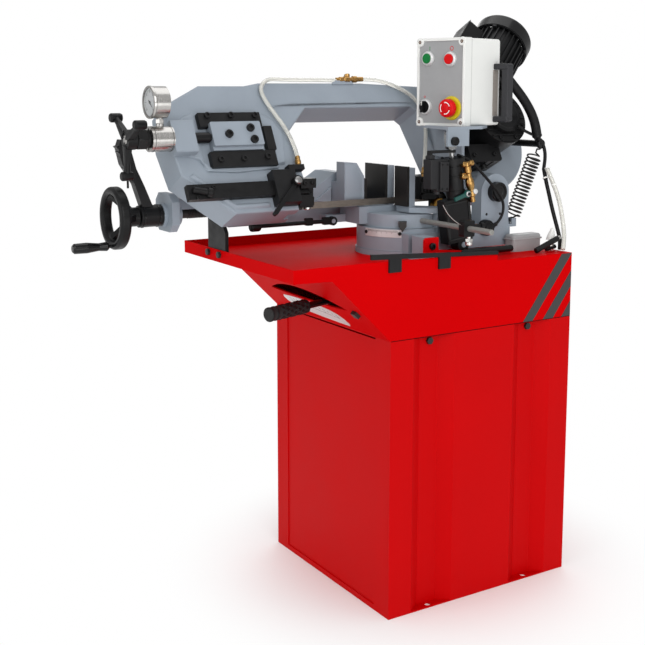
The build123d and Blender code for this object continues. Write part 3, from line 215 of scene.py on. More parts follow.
PALE = material("pale_plastic", srgb(222, 223, 220), rough=0.42, var=0.018, grain=22.0, bump=0.06, bump_scale=1400.0, rough_var=0.06)
PANEL = material("panel_grey", srgb(150, 151, 152), rough=0.5, var=0.03, grain=60.0, bump=0.05, bump_scale=2600.0, rough_var=0.06)
BLACK = material("black_paint", srgb(25, 25, 26), rough=0.42, var=0.18, grain=40.0, bump=0.14, bump_scale=700.0, rough_var=0.10, spec=0.20)
BLACK_CAST = material("black_casting", srgb(19, 19, 20), rough=0.40, var=0.22, grain=60.0, bump=0.35, bump_scale=420.0, rough_var=0.12, spec=0.20)
BLACK_GLOSS = material("black_gloss", srgb(12, 12, 13), rough=0.22, var=0.15, grain=40.0, bump=0.05, rough_var=0.06, spec=0.30)
BURNT = material("blackened_steel", srgb(48, 47, 46), rough=0.46, metal=0.55, var=0.20, grain=70.0, bump=0.22, bump_scale=1500.0, rough_var=0.12)
PLATE = material("ground_plate", srgb(44, 42, 41), rough=0.40, metal=0.6, var=0.14, grain=120.0, bump=0.25, bump_scale=1800.0,
                 stretch=(1, 8, 1), rough_var=0.10)
STEEL = material("turned_steel", srgb(150, 150, 150), rough=0.30, metal=1.0, var=0.12, grain=160.0, bump=0.15, bump_scale=1600.0,
                 stretch=(1, 1, 6), rough_var=0.08)
ROD = material("stop_rod_steel", srgb(140, 139, 135), rough=0.40, metal=0.5, var=0.16, grain=120.0, bump=0.2, bump_scale=1500.0,
               stretch=(6, 1, 6), rough_var=0.10)
BLADE = material("blade_steel", srgb(128, 120, 112), rough=0.38, metal=1.0, var=0.18, grain=90.0, bump=0.15, bump_scale=1600.0,
                 stretch=(1, 6, 6), rough_var=0.10)
CHROME = material("bright_plate", srgb(186, 184, 181), rough=0.24, metal=1.0, var=0.05, grain=120.0, bump=0.06, bump_scale=1800.0,
                  stretch=(8, 1, 1), rough_var=0.05)
SILVER = material("scale_aluminium", srgb(205, 206, 206), rough=0.38, metal=0.35, var=0.05, grain=120.0, bump=0.06, bump_scale=2200.0, rough_var=0.06)
BRASS = material("brass", srgb(172, 134, 80), rough=0.28, metal=1.0, var=0.16, grain=160.0, bump=0.10, bump_scale=1500.0, rough_var=0.08)
COPPER = material("copper", srgb(196, 120, 78), rough=0.30, metal=1.0, var=0.14, grain=160.0, bump=0.10, rough_var=0.08)
BRASS_WIRE = material("brass_wire", srgb(176, 132, 62), rough=0.38, metal=1.0, var=0.25, grain=600.0, bump=0.2, bump_scale=2500.0)
PLASTIC = material("black_plastic", srgb(17, 17, 18), rough=0.38, var=0.14, grain=50.0, bump=0.12, bump_scale=1300.0, rough_var=0.08, spec=0.20)
RUBBER = material("black_rubber", srgb(14, 14, 14), rough=0.72, var=0.15, grain=120.0, bump=0.35, bump_scale=1500.0, rough_var=0.08)
GREEN = material("green_button", srgb(2, 112, 50), rough=0.32, var=0.06, grain=80.0, bump=0.04, rough_var=0.05, spec=0.25)
GREEN_DARK = material("green_valve", srgb(16, 74, 68), rough=0.35, var=0.10, grain=80.0, bump=0.06, rough_var=0.05)
REDP = material("red_button", srgb(200, 3, 8), rough=0.34, var=0.05, grain=80.0, bump=0.04, rough_var=0.05, spec=0.2)
YELLOW = material("yellow_ring", srgb(205, 184, 4), rough=0.40, var=0.05, grain=80.0, bump=0.05, rough_var=0.06)
WHITE = material("white_plastic", srgb(236, 236, 232), rough=0.36, var=0.02, grain=60.0, bump=0.04, rough_var=0.05)
DIAL = material("dial_white", srgb(226, 227, 227), rough=0.45, var=0.015, grain=40.0, bump=0.02, rough_var=0.04)
INK = material("ink_dark", srgb(28, 28, 30), rough=0.6, var=0.08, grain=200.0, bump=0.0, rough_var=0.05)
INK_RED = material("ink_red", srgb(190, 30, 34), rough=0.6, var=0.06, grain=200.0, bump=0.0, rough_var=0.05)
STRIPE = material("stripe_dark", srgb(46, 44, 44), rough=0.42, var=0.07, grain=30.0, bump=0.04, rough_var=0.05)
# near-black material painted where holes are in shade
HOLE_SHADE = material("hole_painted_shade", srgb(14, 13, 13), rough=0.8, var=0.2, grain=80.0, bump=0.05, rough_var=0.05)
PUMP = material("pump_grey", srgb(148, 148, 149), rough=0.46, var=0.05, grain=40.0, bump=0.15, bump_scale=900.0, rough_var=0.07)
CLEAR = material("clear_hose", srgb(232, 231, 224), rough=0.16, var=0.03, grain=60.0, bump=0.03, rough_var=0.05, coat=0.5,
                 coat_rough=0.08, transmission=0.55, ior=1.42)
CABLE = material("black_cable", srgb(20, 20, 21), rough=0.5, var=0.12, grain=80.0, bump=0.08, bump_scale=1200.0, rough_var=0.08, spec=0.20)
GLASS = material("gauge_glass", srgb(250, 251, 252), rough=0.04, var=0.004, grain=20.0, bump=0.0, rough_var=0.015,
                 transmission=1.0, ior=1.35)

BROWN = material("seal_brown", srgb(96, 74, 60), rough=0.5, var=0.12, grain=90.0, bump=0.08, rough_var=0.06)
GRIP = material("grip_grey", srgb(44, 44, 47), rough=0.5, var=0.10, grain=60.0, bump=0.15, bump_scale=1300.0, rough_var=0.07, spec=0.3)
STRIP = material("strip_grey", srgb(150, 143, 136), rough=0.35, metal=0.4, var=0.08, grain=120.0, bump=0.06, rough_var=0.06, stretch=(1, 1, 8))
SEAM = material("seam_pale", srgb(188, 189, 186), rough=0.5, var=0.04, grain=90.0, bump=0.05, rough_var=0.06)
SWITCH = material("switch_black", srgb(30, 30, 32), rough=0.45, var=0.14, grain=60.0, bump=0.12, bump_scale=1200.0, rough_var=0.08, spec=0.3)

PAINT = {
    RED: "cabinet_shell front_panel",
    RED_TRAY: "drip_tray",
    RED_BAR: "lock_lever",
    GREY: "vise_bed swivel_arm column fence bow_casting back_cover moving_jaw front_bracket swivel_post tension_carriage",
    PUMP: "pump_body",
    PALE: "control_box",
    PANEL: "control_panel",
    BLACK: "tray_brackets guide_bracket spring_bar pivot_shaft tension_rails",
    BLACK_CAST: "gearbox motor_body feed_cylinder right_guide guide_arm",
    BLACK_GLOSS: "motor_cowl crank_grip lock_grip clamp_lever",
    BURNT: "stand_hardware balance_spring vise_screw",
    PLATE: "fixed_jaw_plate fence_plate moving_jaw_plate",
    ROD: "stop_rod",
    STEEL: "idler_wheel drive_wheel feed_rod",
    BLADE: "saw_blade",
    CHROME: "tension_cell",
    CLEAR: "coolant_hoses",
    CABLE: "bow_cables supply_lines",
    PLASTIC: "handwheel tension_handle quick_lever jaw_lever guide_lever selector_knob motor_fan stop_clamp",
    RUBBER: "clamp_grip",
    GREEN: "start_button",
    GREEN_DARK: "valve_lever",
    REDP: "stop_button estop_button",
    BRASS_WIRE: "wire_brush",
}
for m, names in PAINT.items():
    for n in names.split():
        if n in N:
            N[n].data.materials.clear()
            N[n].data.materials.append(m)


# ------------------------------------------------------------------ mesh tools, local millimetres
def add_box(bm, M, x0, x1, y0, y1, z0, z1):
    p = [bm.verts.new(M @ Vector(c)) for c in
         ((x0, y0, z0), (x1, y0, z0), (x1, y1, z0), (x0, y1, z0), (x0, y0, z1), (x1, y0, z1), (x1, y1, z1), (x0, y1, z1))]
    for f in ((0, 3, 2, 1), (4, 5, 6, 7), (0, 1, 5, 4), (1, 2, 6, 5), (2, 3, 7, 6), (3, 0, 4, 7)):
        bm.faces.new([p[i] for i in f])


def add_prism(bm, M, pts, z0, z1, shrink=None):
    """Closed outline pushed from z0 to z1; shrink gives the outline at z1 if it differs."""
    a = [bm.verts.new(M @ Vector((x, y, z0))) for x, y in pts]
    b = [bm.verts.new(M @ Vector((x, y, z1))) for x, y in (shrink or pts)]
    k = len(pts)
    for i in range(k):
        j = (i + 1) % k
        bm.faces.new((a[i], a[j], b[j], b[i]))
    bm.faces.new(list(reversed(a)))
    bm.faces.new(b)


def add_lathe(bm, M, prof, seg=40, a0=0.0):
    """Profile of (radius, z) turned about the local z axis; radius 0 closes it."""
    rings = []
    for r, z in prof:
        if r <= 1e-6:
            rings.append([bm.verts.new(M @ Vector((0, 0, z)))])
        else:
            rings.append([bm.verts.new(M @ Vector((r * cos(a0 + 2 * pi * i / seg), r * sin(a0 + 2 * pi * i / seg), z))) for i in range(seg)])
    for p, q in zip(rings, rings[1:]):
        for i in range(seg):
            j = (i + 1) % seg
            if len(p) == 1 and len(q) == 1:
                continue
            if len(p) == 1:
                bm.faces.new((p[0], q[j], q[i]))
            elif len(q) == 1:
                bm.faces.new((p[i], p[j], q[0]))
            else:
                bm.faces.new((p[i], p[j], q[j], q[i]))


def add_hex(bm, M, af, z0, z1):
    r = af / sqrt(3)
    pts = [(r * cos(pi / 3 * i), r * sin(pi / 3 * i)) for i in range(6)]
    add_prism(bm, M, pts, z0, z1)


def done(bm, name, mat, body, bevel=0.0, smooth=35.0, seg=2, hide=()):
    bmesh.ops.remove_doubles(bm, verts=bm.verts, dist=1e-7)
    bmesh.ops.recalc_face_normals(bm, faces=bm.faces)
    me = bpy.data.meshes.new(name)
    bm.to_mesh(me)
    bm.free()
    o = bpy.data.objects.new(name, me)
    scene.collection.objects.link(o)
    for m in (mat if isinstance(mat, (list, tuple)) else (mat,)):
        me.materials.append(m)
    if bevel > 0:
        b = o.modifiers.new("edges", "BEVEL")
        b.width = bevel * MM
        b.segments = seg
        b.limit_method = "ANGLE"
        b.angle_limit = radians(40)
        b.harden_normals = False
    me.shade_smooth() if hasattr(me, "shade_smooth") else None
    me.set_sharp_from_angle(angle=radians(smooth))
    if body:
        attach(o, body)
    if hide:
        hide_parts(*hide)
    return o


def frame_m(M, x, y, z=0.0, ang=0.0):
    """The same frame moved to a local point, turned about its z."""
    return M @ Matrix.Translation((x, y, z)) @ Matrix.Rotation(radians(ang), 4, "Z")


def socket_screw(bm, M, d=10.0, h=6.0):
    """Cap screw head with a hexagon socket, standing on local z = 0."""
    r = d / 2
    add_lathe(bm, M, [(0, 0), (r, 0), (r, h - 0.8), (r - 0.8, h), (r * 0.52, h), (r * 0.50, h - 0.4), (r * 0.46, h * 0.45), (0, h * 0.45)], 24)


def hose(name, pts, radius, mat, body=None, res=10):
    """Smooth tube on a NURBS line through the given control points, in millimetres."""
    cu = bpy.data.curves.new(name, "CURVE")
    cu.dimensions = "3D"
    sp = cu.splines.new("NURBS")
    sp.points.add(len(pts) - 1)
    for p, q in zip(sp.points, pts):
        p.co = (q[0] * MM, q[1] * MM, q[2] * MM, 1.0)
    sp.order_u = 3
    sp.use_endpoint_u = True
    sp.resolution_u = res
    cu.bevel_depth = radius * MM
    cu.bevel_resolution = 4
    cu.use_fill_caps = True
    cu.materials.append(mat)
    o = bpy.data.objects.new(name, cu)
    scene.collection.objects.link(o)
    if body:
        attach(o, body)
    return o


# ------------------------------------------------------------------ camera
YAW, PITCH = radians(31.695), radians(8.195)
cam = bpy.data.cameras.new("camera")
cam.sensor_width = 36.0
cam.lens = 61.039
cam.shift_y = -0.12
cam.clip_end = 50.0
co = bpy.data.objects.new("camera", cam)
scene.collection.objects.link(co)
fw = Vector((sin(YAW) * cos(PITCH), cos(YAW) * cos(PITCH), -sin(PITCH)))
rt = Vector((cos(YAW), -sin(YAW), 0))
up = rt.cross(fw)
co.matrix_world = Matrix(((rt.x, up.x, -fw.x, -1.506616), (rt.y, up.y, -fw.y, -2.010238), (rt.z, up.z, -fw.z, 1.111879), (0, 0, 0, 1)))
scene.camera = co

# ------------------------------------------------------------------ floor, light
scene.view_settings.view_transform = "Standard"
scene.view_settings.look = "None"
w = bpy.data.worlds.new("studio")
scene.world = w
w.use_nodes = True
wt = w.node_tree
back = wt.nodes["Background"]
lp = wt.nodes.new("ShaderNodeLightPath")
wc = wt.nodes.new("ShaderNodeTexCoord")
ws = wt.nodes.new("ShaderNodeSeparateXYZ")
wt.links.new(wc.outputs["Generated"], ws.inputs["Vector"])
wr = wt.nodes.new("ShaderNodeMapRange")
wr.inputs["From Min"].default_value = -0.6
wr.inputs["From Max"].default_value = 0.9
wr.inputs["To Min"].default_value = 0.34
wr.inputs["To Max"].default_value = 0.62
wt.links.new(ws.outputs["Z"], wr.inputs["Value"])
wm = wt.nodes.new("ShaderNodeMix")
wm.data_type = "FLOAT"
wt.links.new(lp.outputs["Is Camera Ray"], wm.inputs["Factor"])
wt.links.new(wr.outputs["Result"], wm.inputs["A"])
wm.inputs["B"].default_value = 1.0
wt.links.new(wm.outputs["Result"], back.inputs["Strength"])
back.inputs["Color"].default_value = (1.0, 1.0, 1.0, 1.0)

bm = bmesh.new()
add_lathe(bm, Matrix.Scale(MM, 4), [(0, -0.6), (700, -0.6), (1400, -0.6), (2400, -0.6), (14000, -0.6)], 96)
FLOOR = material("floor", (0.93, 0.93, 0.93, 1.0), rough=0.8, var=0.008, grain=2.0, bump=0.01, rough_var=0.04, spec=0.1)
ft = FLOOR.node_tree
fb = ft.nodes["Principled BSDF"]
fe = ft.nodes.new("ShaderNodeEmission")
fe.inputs["Color"].default_value = (1.0, 1.0, 1.0, 1.0)
fe.inputs["Strength"].default_value = 1.0
fmix = ft.nodes.new("ShaderNodeMixShader")
fc = ft.nodes.new("ShaderNodeTexCoord")
fn = ft.nodes.new("ShaderNodeVectorMath")
fn.operation = "LENGTH"
ft.links.new(fc.outputs["Object"], fn.inputs[0])
fr = ft.nodes.new("ShaderNodeMapRange")
fr.interpolation_type = "SMOOTHSTEP"
fr.inputs["From Min"].default_value = 0.22
fr.inputs["From Max"].default_value = 0.62
ft.links.new(fn.outputs["Value"], fr.inputs["Value"])
ft.links.new(fr.outputs["Result"], fmix.inputs["Fac"])
ft.links.new(fb.outputs["BSDF"], fmix.inputs[1])
ft.links.new(fe.outputs["Emission"], fmix.inputs[2])
ft.links.new(fmix.outputs["Shader"], ft.nodes["Material Output"].inputs["Surface"])
fl = done(bm, "floor", FLOOR, None)


def area(name, loc, target, size, power, colour=(1, 1, 1)):
    li = bpy.data.lights.new(name, "AREA")
    li.shape = "RECTANGLE"
    li.size, li.size_y = size
    li.energy = power
    li.color = colour
    o = bpy.data.objects.new(name, li)
    scene.collection.objects.link(o)
    o.location = loc
    o.rotation_mode = "QUATERNION"
    o.rotation_quaternion = (Vector(target) - Vector(loc)).to_track_quat("-Z", "Y")
    return o


area("key", (-1.0, -3.0, 2.4), (0, 0, 0.85), (2.4, 2.0), 46)
area("side", (-3.2, -0.2, 1.5), (-0.1, 0, 0.7), (1.8, 2.4), 26)
area("top", (0.2, 0.3, 3.4), (0, 0, 0.8), (2.6, 2.6), 26)
area("back", (2.2, 2.6, 2.2), (0, 0, 0.9), (2.0, 2.0), 22)
area("front_low", (-0.6, -2.6, 0.45), (0, 0, 0.95), (2.4, 0.8), 14)

# ------------------------------------------------------------------ hoses and cables
def spline_mesh(name, pts, radius):
    """Tube mesh that follows the NURBS line of the control points."""
    o = hose(name + "_line", pts, radius, CABLE)
    bpy.context.view_layer.update()
    me = bpy.data.meshes.new_from_object(o.evaluated_get(bpy.context.evaluated_depsgraph_get()))
    bpy.data.objects.remove(o)
    me.name = name
    t = bpy.data.objects.new(name, me)
    scene.collection.objects.link(t)
    me.shade_smooth()
    return t


def spline_length(pts):
    o = hose("measure", pts, 0.0, CABLE)
    bpy.context.view_layer.update()
    me = bpy.data.meshes.new_from_object(o.evaluated_get(bpy.context.evaluated_depsgraph_get()))
    total = sum((me.vertices[e.vertices[0]].co - me.vertices[e.vertices[1]].co).length for e in me.edges)
    bpy.data.objects.remove(o)
    bpy.data.meshes.remove(me)
    return total


def spline_points(pts):
    o = hose("measure", pts, 0.0, CABLE)
    bpy.context.view_layer.update()
    me = bpy.data.meshes.new_from_object(o.evaluated_get(bpy.context.evaluated_depsgraph_get()))
    out = [tuple(v.co) for v in me.vertices]
    bpy.data.objects.remove(o)
    bpy.data.meshes.remove(me)
    return out


def joint_line(name, pts, radius, mat, node):
    """Cord that starts on body a and ends on body b."""
    total = spline_length(pts)
    o = spline_mesh(name, pts, radius)
    o.data.materials.clear()
    o.data.materials.append(mat)
    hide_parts(node)
    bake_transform(o)
    spline_points(pts)
    return o


def line(name, pts, radius, mat, body, node):
    total = spline_length(pts)
    o = hose(name, pts, radius, mat, body)
    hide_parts(node)
    return o


LEFT_HOSE = [tuple(bow(*p)) for p in (
    (-172, 280, 38), (-226, 281, 39), (-280, 280, 40), (-330, 280.8, 41), (-352.3, 280, 43), (-371.8, 268.8, 46),
    (-383, 249.3, 48.5), (-376, 222, 49.5), (-362, 193, 49.5), (-346, 162, 49.5), (-337, 129, 50), (-335, 97, 52.5),
    (-341, 70.5, 57))]
RIGHT_HOSE = [tuple(bow(*p)) for p in (
    (-113, 281, 42), (-87, 279.5, 45), (-60, 273.5, 47), (-36, 264.5, 48), (-10, 251.5, 48.5), (12, 236, 48.5),
    (26, 214, 48.5), (31, 188, 48), (27, 160, 48), (19, 133, 48), (10, 108, 48), (0, 82, 47.5), (-9, 58, 46.5),
    (-15, 42, 45.5))]
CONDUIT = [(143, -92, 1160), (158, -99, 1141), (180, -105.5, 1115), (206, -110.5, 1086), (229, -112.5, 1054),
           (243, -113, 1023), (247, -113, 1001)]
LEAD = [(190, -110.5, 1026.5), (203, -112, 1017), (219, -112.5, 1010), (231, -113, 1005.5)]
SUPPLY = [(254, -131, 927), (252, -141, 901), (251.5, -151, 876), (250.5, -167, 835), (252.5, -187, 784),
          (250, -196, 766), (242, -203, 749)]
DRAIN = [(251, -145, 928), (260, -156, 896), (265, -166, 870), (265.5, -176, 846), (261, -193, 802), (253, -206, 773),
         (240, -216, 750)]
line("coolant_hose_left", LEFT_HOSE, 4.5, CLEAR, "bow", "coolant_hoses")
line("coolant_hose_right", RIGHT_HOSE, 4.5, CLEAR, "bow", "coolant_hoses")
line("motor_conduit", CONDUIT, 11.0, CABLE, "bow", "bow_cables")
line("motor_lead", LEAD, 3.5, CABLE, "bow", "bow_cables")
joint_line("supply_cable", SUPPLY, 4.5, CABLE, "supply_lines")
joint_line("coolant_hose_return", DRAIN, 5.0, CLEAR, "supply_lines")

# cable from the bow's pin down to the tie
t = spline_mesh("cable_bridge", [(246, -118, 996), (258, -121, 985), (263, -124, 966), (262, -126, 948), (256, -130, 934), (254, -131, 926)], 4.0)
t.data.materials.clear()
t.data.materials.append(CABLE)
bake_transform(t)
# lead from the cylinder to the limit switch
t = spline_mesh("switch_lead", [(-16, -151, 968), (8, -152, 960), (31, -152, 947), (54, -152, 925), (76, -152, 905), (102, -152, 881),
                                (119, -150, 856), (119, -148, 831), (106, -146, 812), (94, -142, 802)], 3.2)
t.data.materials.clear()
t.data.materials.append(CABLE)
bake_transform(t)

# ------------------------------------------------------------------ balance spring
SP_A, SP_B = Vector((176.0, -111.6, 812.0)), Vector((255.0, -111.6, 983.0))
SP_L = (SP_B - SP_A).length
SPR = frame_of(SP_A, (0, -1, 0), SP_B - SP_A)
WIRE, COIL, T0, T1, TURNS, SP_END = 1.85, 15.9, 12.0, 158.0, 17.0, 13.2


def wire_tube(bm, M, path, radius, ring):
    prev = None
    for i, p in enumerate(path):
        d = (path[min(i + 1, len(path) - 1)] - path[max(i - 1, 0)]).normalized()
        u = d.cross(Vector((0, 0, 1)) if abs(d.z) < 0.9 else Vector((1, 0, 0))).normalized()
        v = d.cross(u)
        cur = [bm.verts.new(M @ (p + radius * (cos(2 * pi * j / ring) * u + sin(2 * pi * j / ring) * v))) for j in range(ring)]
        if prev:
            for j in range(ring):
                bm.faces.new((prev[j], prev[(j + 1) % ring], cur[(j + 1) % ring], cur[j]))
        else:
            bm.faces.new(list(reversed(cur)))
        prev = cur
    bm.faces.new(prev)


bm = bmesh.new()
steps = int(TURNS * 26)
path = [Vector((0.0, 4.4 * cos(-pi / 2 + 2 * pi * k / 16), 4.4 * sin(-pi / 2 + 2 * pi * k / 16))) for k in range(17)]
path.append(Vector((COIL * 0.15, 0.0, 4.0)))
for i in range(steps + 1):
    a = 2 * pi * TURNS * i / steps
    path.append(Vector((COIL * cos(a), COIL * sin(a), T0 + (T1 - T0) * i / steps)))
path += [Vector((COIL * 0.55, 0, T1 + 4)), Vector((0.5, 0, T1 + 8)), Vector((0, 0, SP_L - SP_END))]
wire_tube(bm, SPR, path, WIRE, 8)
spring = done(bm, "spring_coil", BURNT, "spring", hide=("balance_spring",))
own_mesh(spring)
# half hook of the coil over the bar
bm = bmesh.new()
path = [Vector((0, 0, SP_L - SP_END))]
for k in range(25):
    a = radians(-90 + 183 * k / 24)
    path.append(Vector((0.0, 12.5 * cos(a), SP_L + 12.5 * sin(a))))
wire_tube(bm, SPR, path, WIRE, 8)
done(bm, "spring_hook", BURNT, "bow")

# ------------------------------------------------------------------ control box
bm = bmesh.new()
for x0, x1, y0, y1 in ((-66, -60.5, -96, 96), (60.5, 66, -96, 96), (-62, 62, 89.5, 96), (-62, 62, -96, -89.5)):
    add_box(bm, FACE, x0, x1, y0, y1, -22, 3)
for x in (-58, 58):
    for y in (-87.5, 87.5):
        add_lathe(bm, frame_m(FACE, x, y), [(0, 3.6), (8.6, 3.6), (9.6, 2.6), (9.6, -1), (0, -1)], 28)
done(bm, "box_lid", PALE, "bow", bevel=1.1)
bm = bmesh.new()
add_box(bm, FACE, -64, 64, -95.7, -93, -25, -21.5)
done(bm, "box_seal", BROWN, "bow")
bm = bmesh.new()
for x0, x1, y0, y1 in ((-65.6, -63, -93.4, 95.4), (63, 65.6, -93.4, 95.4), (-64, 64, 93, 95.6)):
    add_box(bm, FACE, x0, x1, y0, y1, -24, -21.5)
done(bm, "box_seam", SEAM, "bow")
bm = bmesh.new()
for x in (-58, 58):
    for y in (-87.5, 87.5):
        M = frame_m(FACE, x, y)
        add_lathe(bm, M, [(0, 3.4), (1.2, 3.4), (1.3, 4.3), (3.4, 4.3), (4.0, 3.6), (4.0, 2), (0, 2)], 20)
done(bm, "box_screws", BROWN, "bow")
bm = bmesh.new()
for x, y in ((-36, 52), (26, 50)):
    add_lathe(bm, frame_m(FACE, x, y), [(11.5, 0), (16.4, 0), (16.6, 1.6), (15.2, 5.2), (13.2, 6.8), (11.5, 6.8), (11.5, 0)], 40)
add_lathe(bm, frame_m(FACE, -42, -54), [(13.4, 0), (17.6, 0), (17.6, 2), (15.8, 5.4), (13.8, 6.2), (13.4, 6.2), (13.4, 0)], 40)
done(bm, "button_rings", SILVER, "bow")
bm = bmesh.new()
add_lathe(bm, frame_m(FACE, 31, -56), [(8.6, 0), (26, 0), (26.2, 1.6), (25, 3.6), (21, 4.2), (8.6, 4.2), (8.6, 0)], 48)
done(bm, "estop_ring", YELLOW, "bow")
bm = bmesh.new()
for k in range(3):
    a0 = radians(20 + 120 * k)
    arc = [(13.6 * cos(a0 + radians(8 * i)), 13.6 * sin(a0 + radians(8 * i))) for i in range(11)]
    arc += [(11.6 * cos(a0 + radians(8 * i)), 11.6 * sin(a0 + radians(8 * i))) for i in range(10, -1, -1)]
    add_prism(bm, frame_m(FACE, 31, -56), arc, 23.9, 24.35)
done(bm, "estop_arcs", WHITE, "estop")
bm = bmesh.new()
add_lathe(bm, frame_m(FACE, 31, -56), [(0, 23.8), (8, 23.8), (9.5, 24.6), (9.5, 24.9), (8.4, 25.2), (0, 25.5)], 32)
done(bm, "estop_cap", REDP, "estop")
bm = bmesh.new()
add_box(bm, frame_m(FACE, -42, -54), -0.8, 0.8, 3, 12, 15.9, 16.3)
add_prism(bm, frame_m(FACE, -42, -54), [(-2.4, 9.5), (2.4, 9.5), (0, 12.4)], 15.9, 16.35)
done(bm, "selector_mark", WHITE, "selector")
bm = bmesh.new()
add_lathe(bm, frame_m(FACE, 28.5, 73), [(3.4, 0), (4.9, 0), (4.9, 0.3), (3.4, 0.3), (3.4, 0)], 32)
add_lathe(bm, frame_m(FACE, -45, -32), [(1.5, 0), (2.5, 0), (2.5, 0.3), (1.5, 0.3), (1.5, 0)], 20)
done(bm, "panel_marks_red", INK_RED, "bow")
bm = bmesh.new()
add_box(bm, FACE, -33, -31.7, 69.5, 77, 0, 0.3)
add_prism(bm, FACE, [(-33.6, 77), (-31.1, 77), (-31.1, 77.8), (-33.6, 77.8)], 0, 0.3)
done(bm, "panel_mark_green", GREEN, "bow")
bm = bmesh.new()
for y0, y1 in ((28, 41), (-88, -75)):
    add_prism(bm, FACE, [(65, y0), (98, y0), (104, y0 + 4), (104, y1 - 2), (100, y1), (65, y1)], -127, -103)
add_prism(bm, FACE, [(86, -86), (104, -86), (104, 39), (86, 39)], -126, -105)
done(bm, "box_grip", GRIP, "bow", bevel=3.0, seg=3)
bm = bmesh.new()
add_box(bm, FACE, 64.6, 65.9, -74, 27, -121, -103)
for y in (-66, 18):
    add_lathe(bm, FACE @ Matrix.Translation((65.9, y, -112)) @ Matrix.Rotation(pi / 2, 4, "Y"), [(0, 0.7), (2.4, 0.7), (2.8, 0), (0, 0)], 16)
done(bm, "box_strip", STRIP, "bow", bevel=0.3)

# ------------------------------------------------------------------ gauge and tension unit
GA = toward_left(-656, GY, GZ + 72)
bm = bmesh.new()
add_lathe(bm, GA, [(0, 0.7), (27.7, 0.7), (27.7, 0.1), (0, 0.1)], 56)
done(bm, "gauge_dial", DIAL, "bow")
bm = bmesh.new()
for k in range(31):
    M = frame_m(GA, 0, 0, 0, 225 - 9 * k)
    add_box(bm, M, 20.5 if k % 5 else 18.2, 24.4, -0.28 if k % 5 else -0.5, 0.28 if k % 5 else 0.5, 0.6, 0.9)
add_prism(bm, frame_m(GA, 0, 0, 0, -38), [(-7, -1.1), (2, -1.3), (18.5, 0), (2, 1.3), (-7, 1.1)], 1.4, 1.9)
add_lathe(bm, GA, [(0, 2.4), (2.4, 2.4), (3, 1.8), (3, 0.7), (0, 0.7)], 20)
done(bm, "gauge_marks", INK, "bow")
bm = bmesh.new()
add_lathe(bm, GA, [(0, 3.9), (20, 3.7), (27.6, 3.2), (27.8, 2.6), (0, 2.9)], 56)
done(bm, "gauge_glass", GLASS, "bow")
bm = bmesh.new()
add_lathe(bm, GA, [(27.9, 4.6), (31.9, 4.6), (32.6, 3.4), (32.6, 0.2), (31.6, -1.2), (31.4, -1.2), (31.4, 3.4), (27.9, 3.4), (27.9, 4.6)], 56)
add_hex(bm, level(GZ + 31, -637, GY), 15, 0, 8)
add_lathe(bm, level(GZ + 25, -637, GY), [(0, 0), (7.8, 0), (7.8, 5), (6.4, 6.6), (0, 6.6)], 28)
done(bm, "gauge_bezel", CHROME, "bow", bevel=0.3)
# small dark discs painted as the shade inside the drum's six holes, and two thin dark rings round the drum
bm = bmesh.new()
DR = toward_left(-662, GY, GZ)
for k in range(6):
    add_lathe(bm, frame_m(DR, 19.4 * cos(radians(30 + 60 * k)), 19.4 * sin(radians(30 + 60 * k))), [(0, 0.35), (2.5, 0.35), (2.9, 0.05), (0, 0.05)], 18)
for x in (-656.5, -619):
    add_lathe(bm, along_x(x, GY, GZ), [(25.4, 0), (25.75, 0.1), (25.75, 0.9), (25.4, 1.0), (25.4, 0)], 56)
done(bm, "drum_hole_shades", HOLE_SHADE, "bow")
bm = bmesh.new()
add_lathe(bm, toward_left(-711, GY, GZ), [(0, 1.6), (4.6, 1.6), (5.0, 0.9), (8.2, 0.9), (9, 0), (0, 0)], 32)
done(bm, "handle_end", CHROME, "tensioner")
bm = bmesh.new()
for a in (35, 155, 275):
    y, z = GY + 72 * cos(radians(a)), GZ + 72 * sin(radians(a))
    add_lathe(bm, along_x(-719, y, z), [(0, 0), (7.2, 0), (9.3, 2.4), (9.3, 22), (7.2, 25), (0, 25)], 28)
    add_prism(bm, frame_of((-706, GY, GZ), (1, 0, 0), (0, cos(radians(a)), sin(radians(a)))),
              [(-7, -8.5), (7, -8.5), (8.5, 0), (7, 8.5), (-7, 8.5), (-8.5, 0)], 12, 52, [(-5, -5.5), (5, -5.5), (6.6, 0), (5, 5.5), (-5, 5.5), (-6.6, 0)])
done(bm, "handle_arms", PLASTIC, "tensioner", bevel=0.8)
bm = bmesh.new()
add_hex(bm, along_x(-690, GY, GZ), 38, 0, 20)
done(bm, "handle_nut", BLACK_GLOSS, "tensioner", bevel=1.0)

# rails and carriage screws
bm = bmesh.new()
for x, s in ((-525, 190), (-471, 190), (-415, 189), (-516, 92), (-463, 92), (-407, 95)):
    socket_screw(bm, bow_at(54, x, s), 13.0, 6.0)
done(bm, "rail_screws", BLACK, "bow")
bm = bmesh.new()
for x, s in ((-490, 143.5), (-438, 156), (-434.7, 130)):
    socket_screw(bm, bow_at(63.5, x, s), 17.0, 6.5)
done(bm, "carriage_screws", BLACK, "carriage")

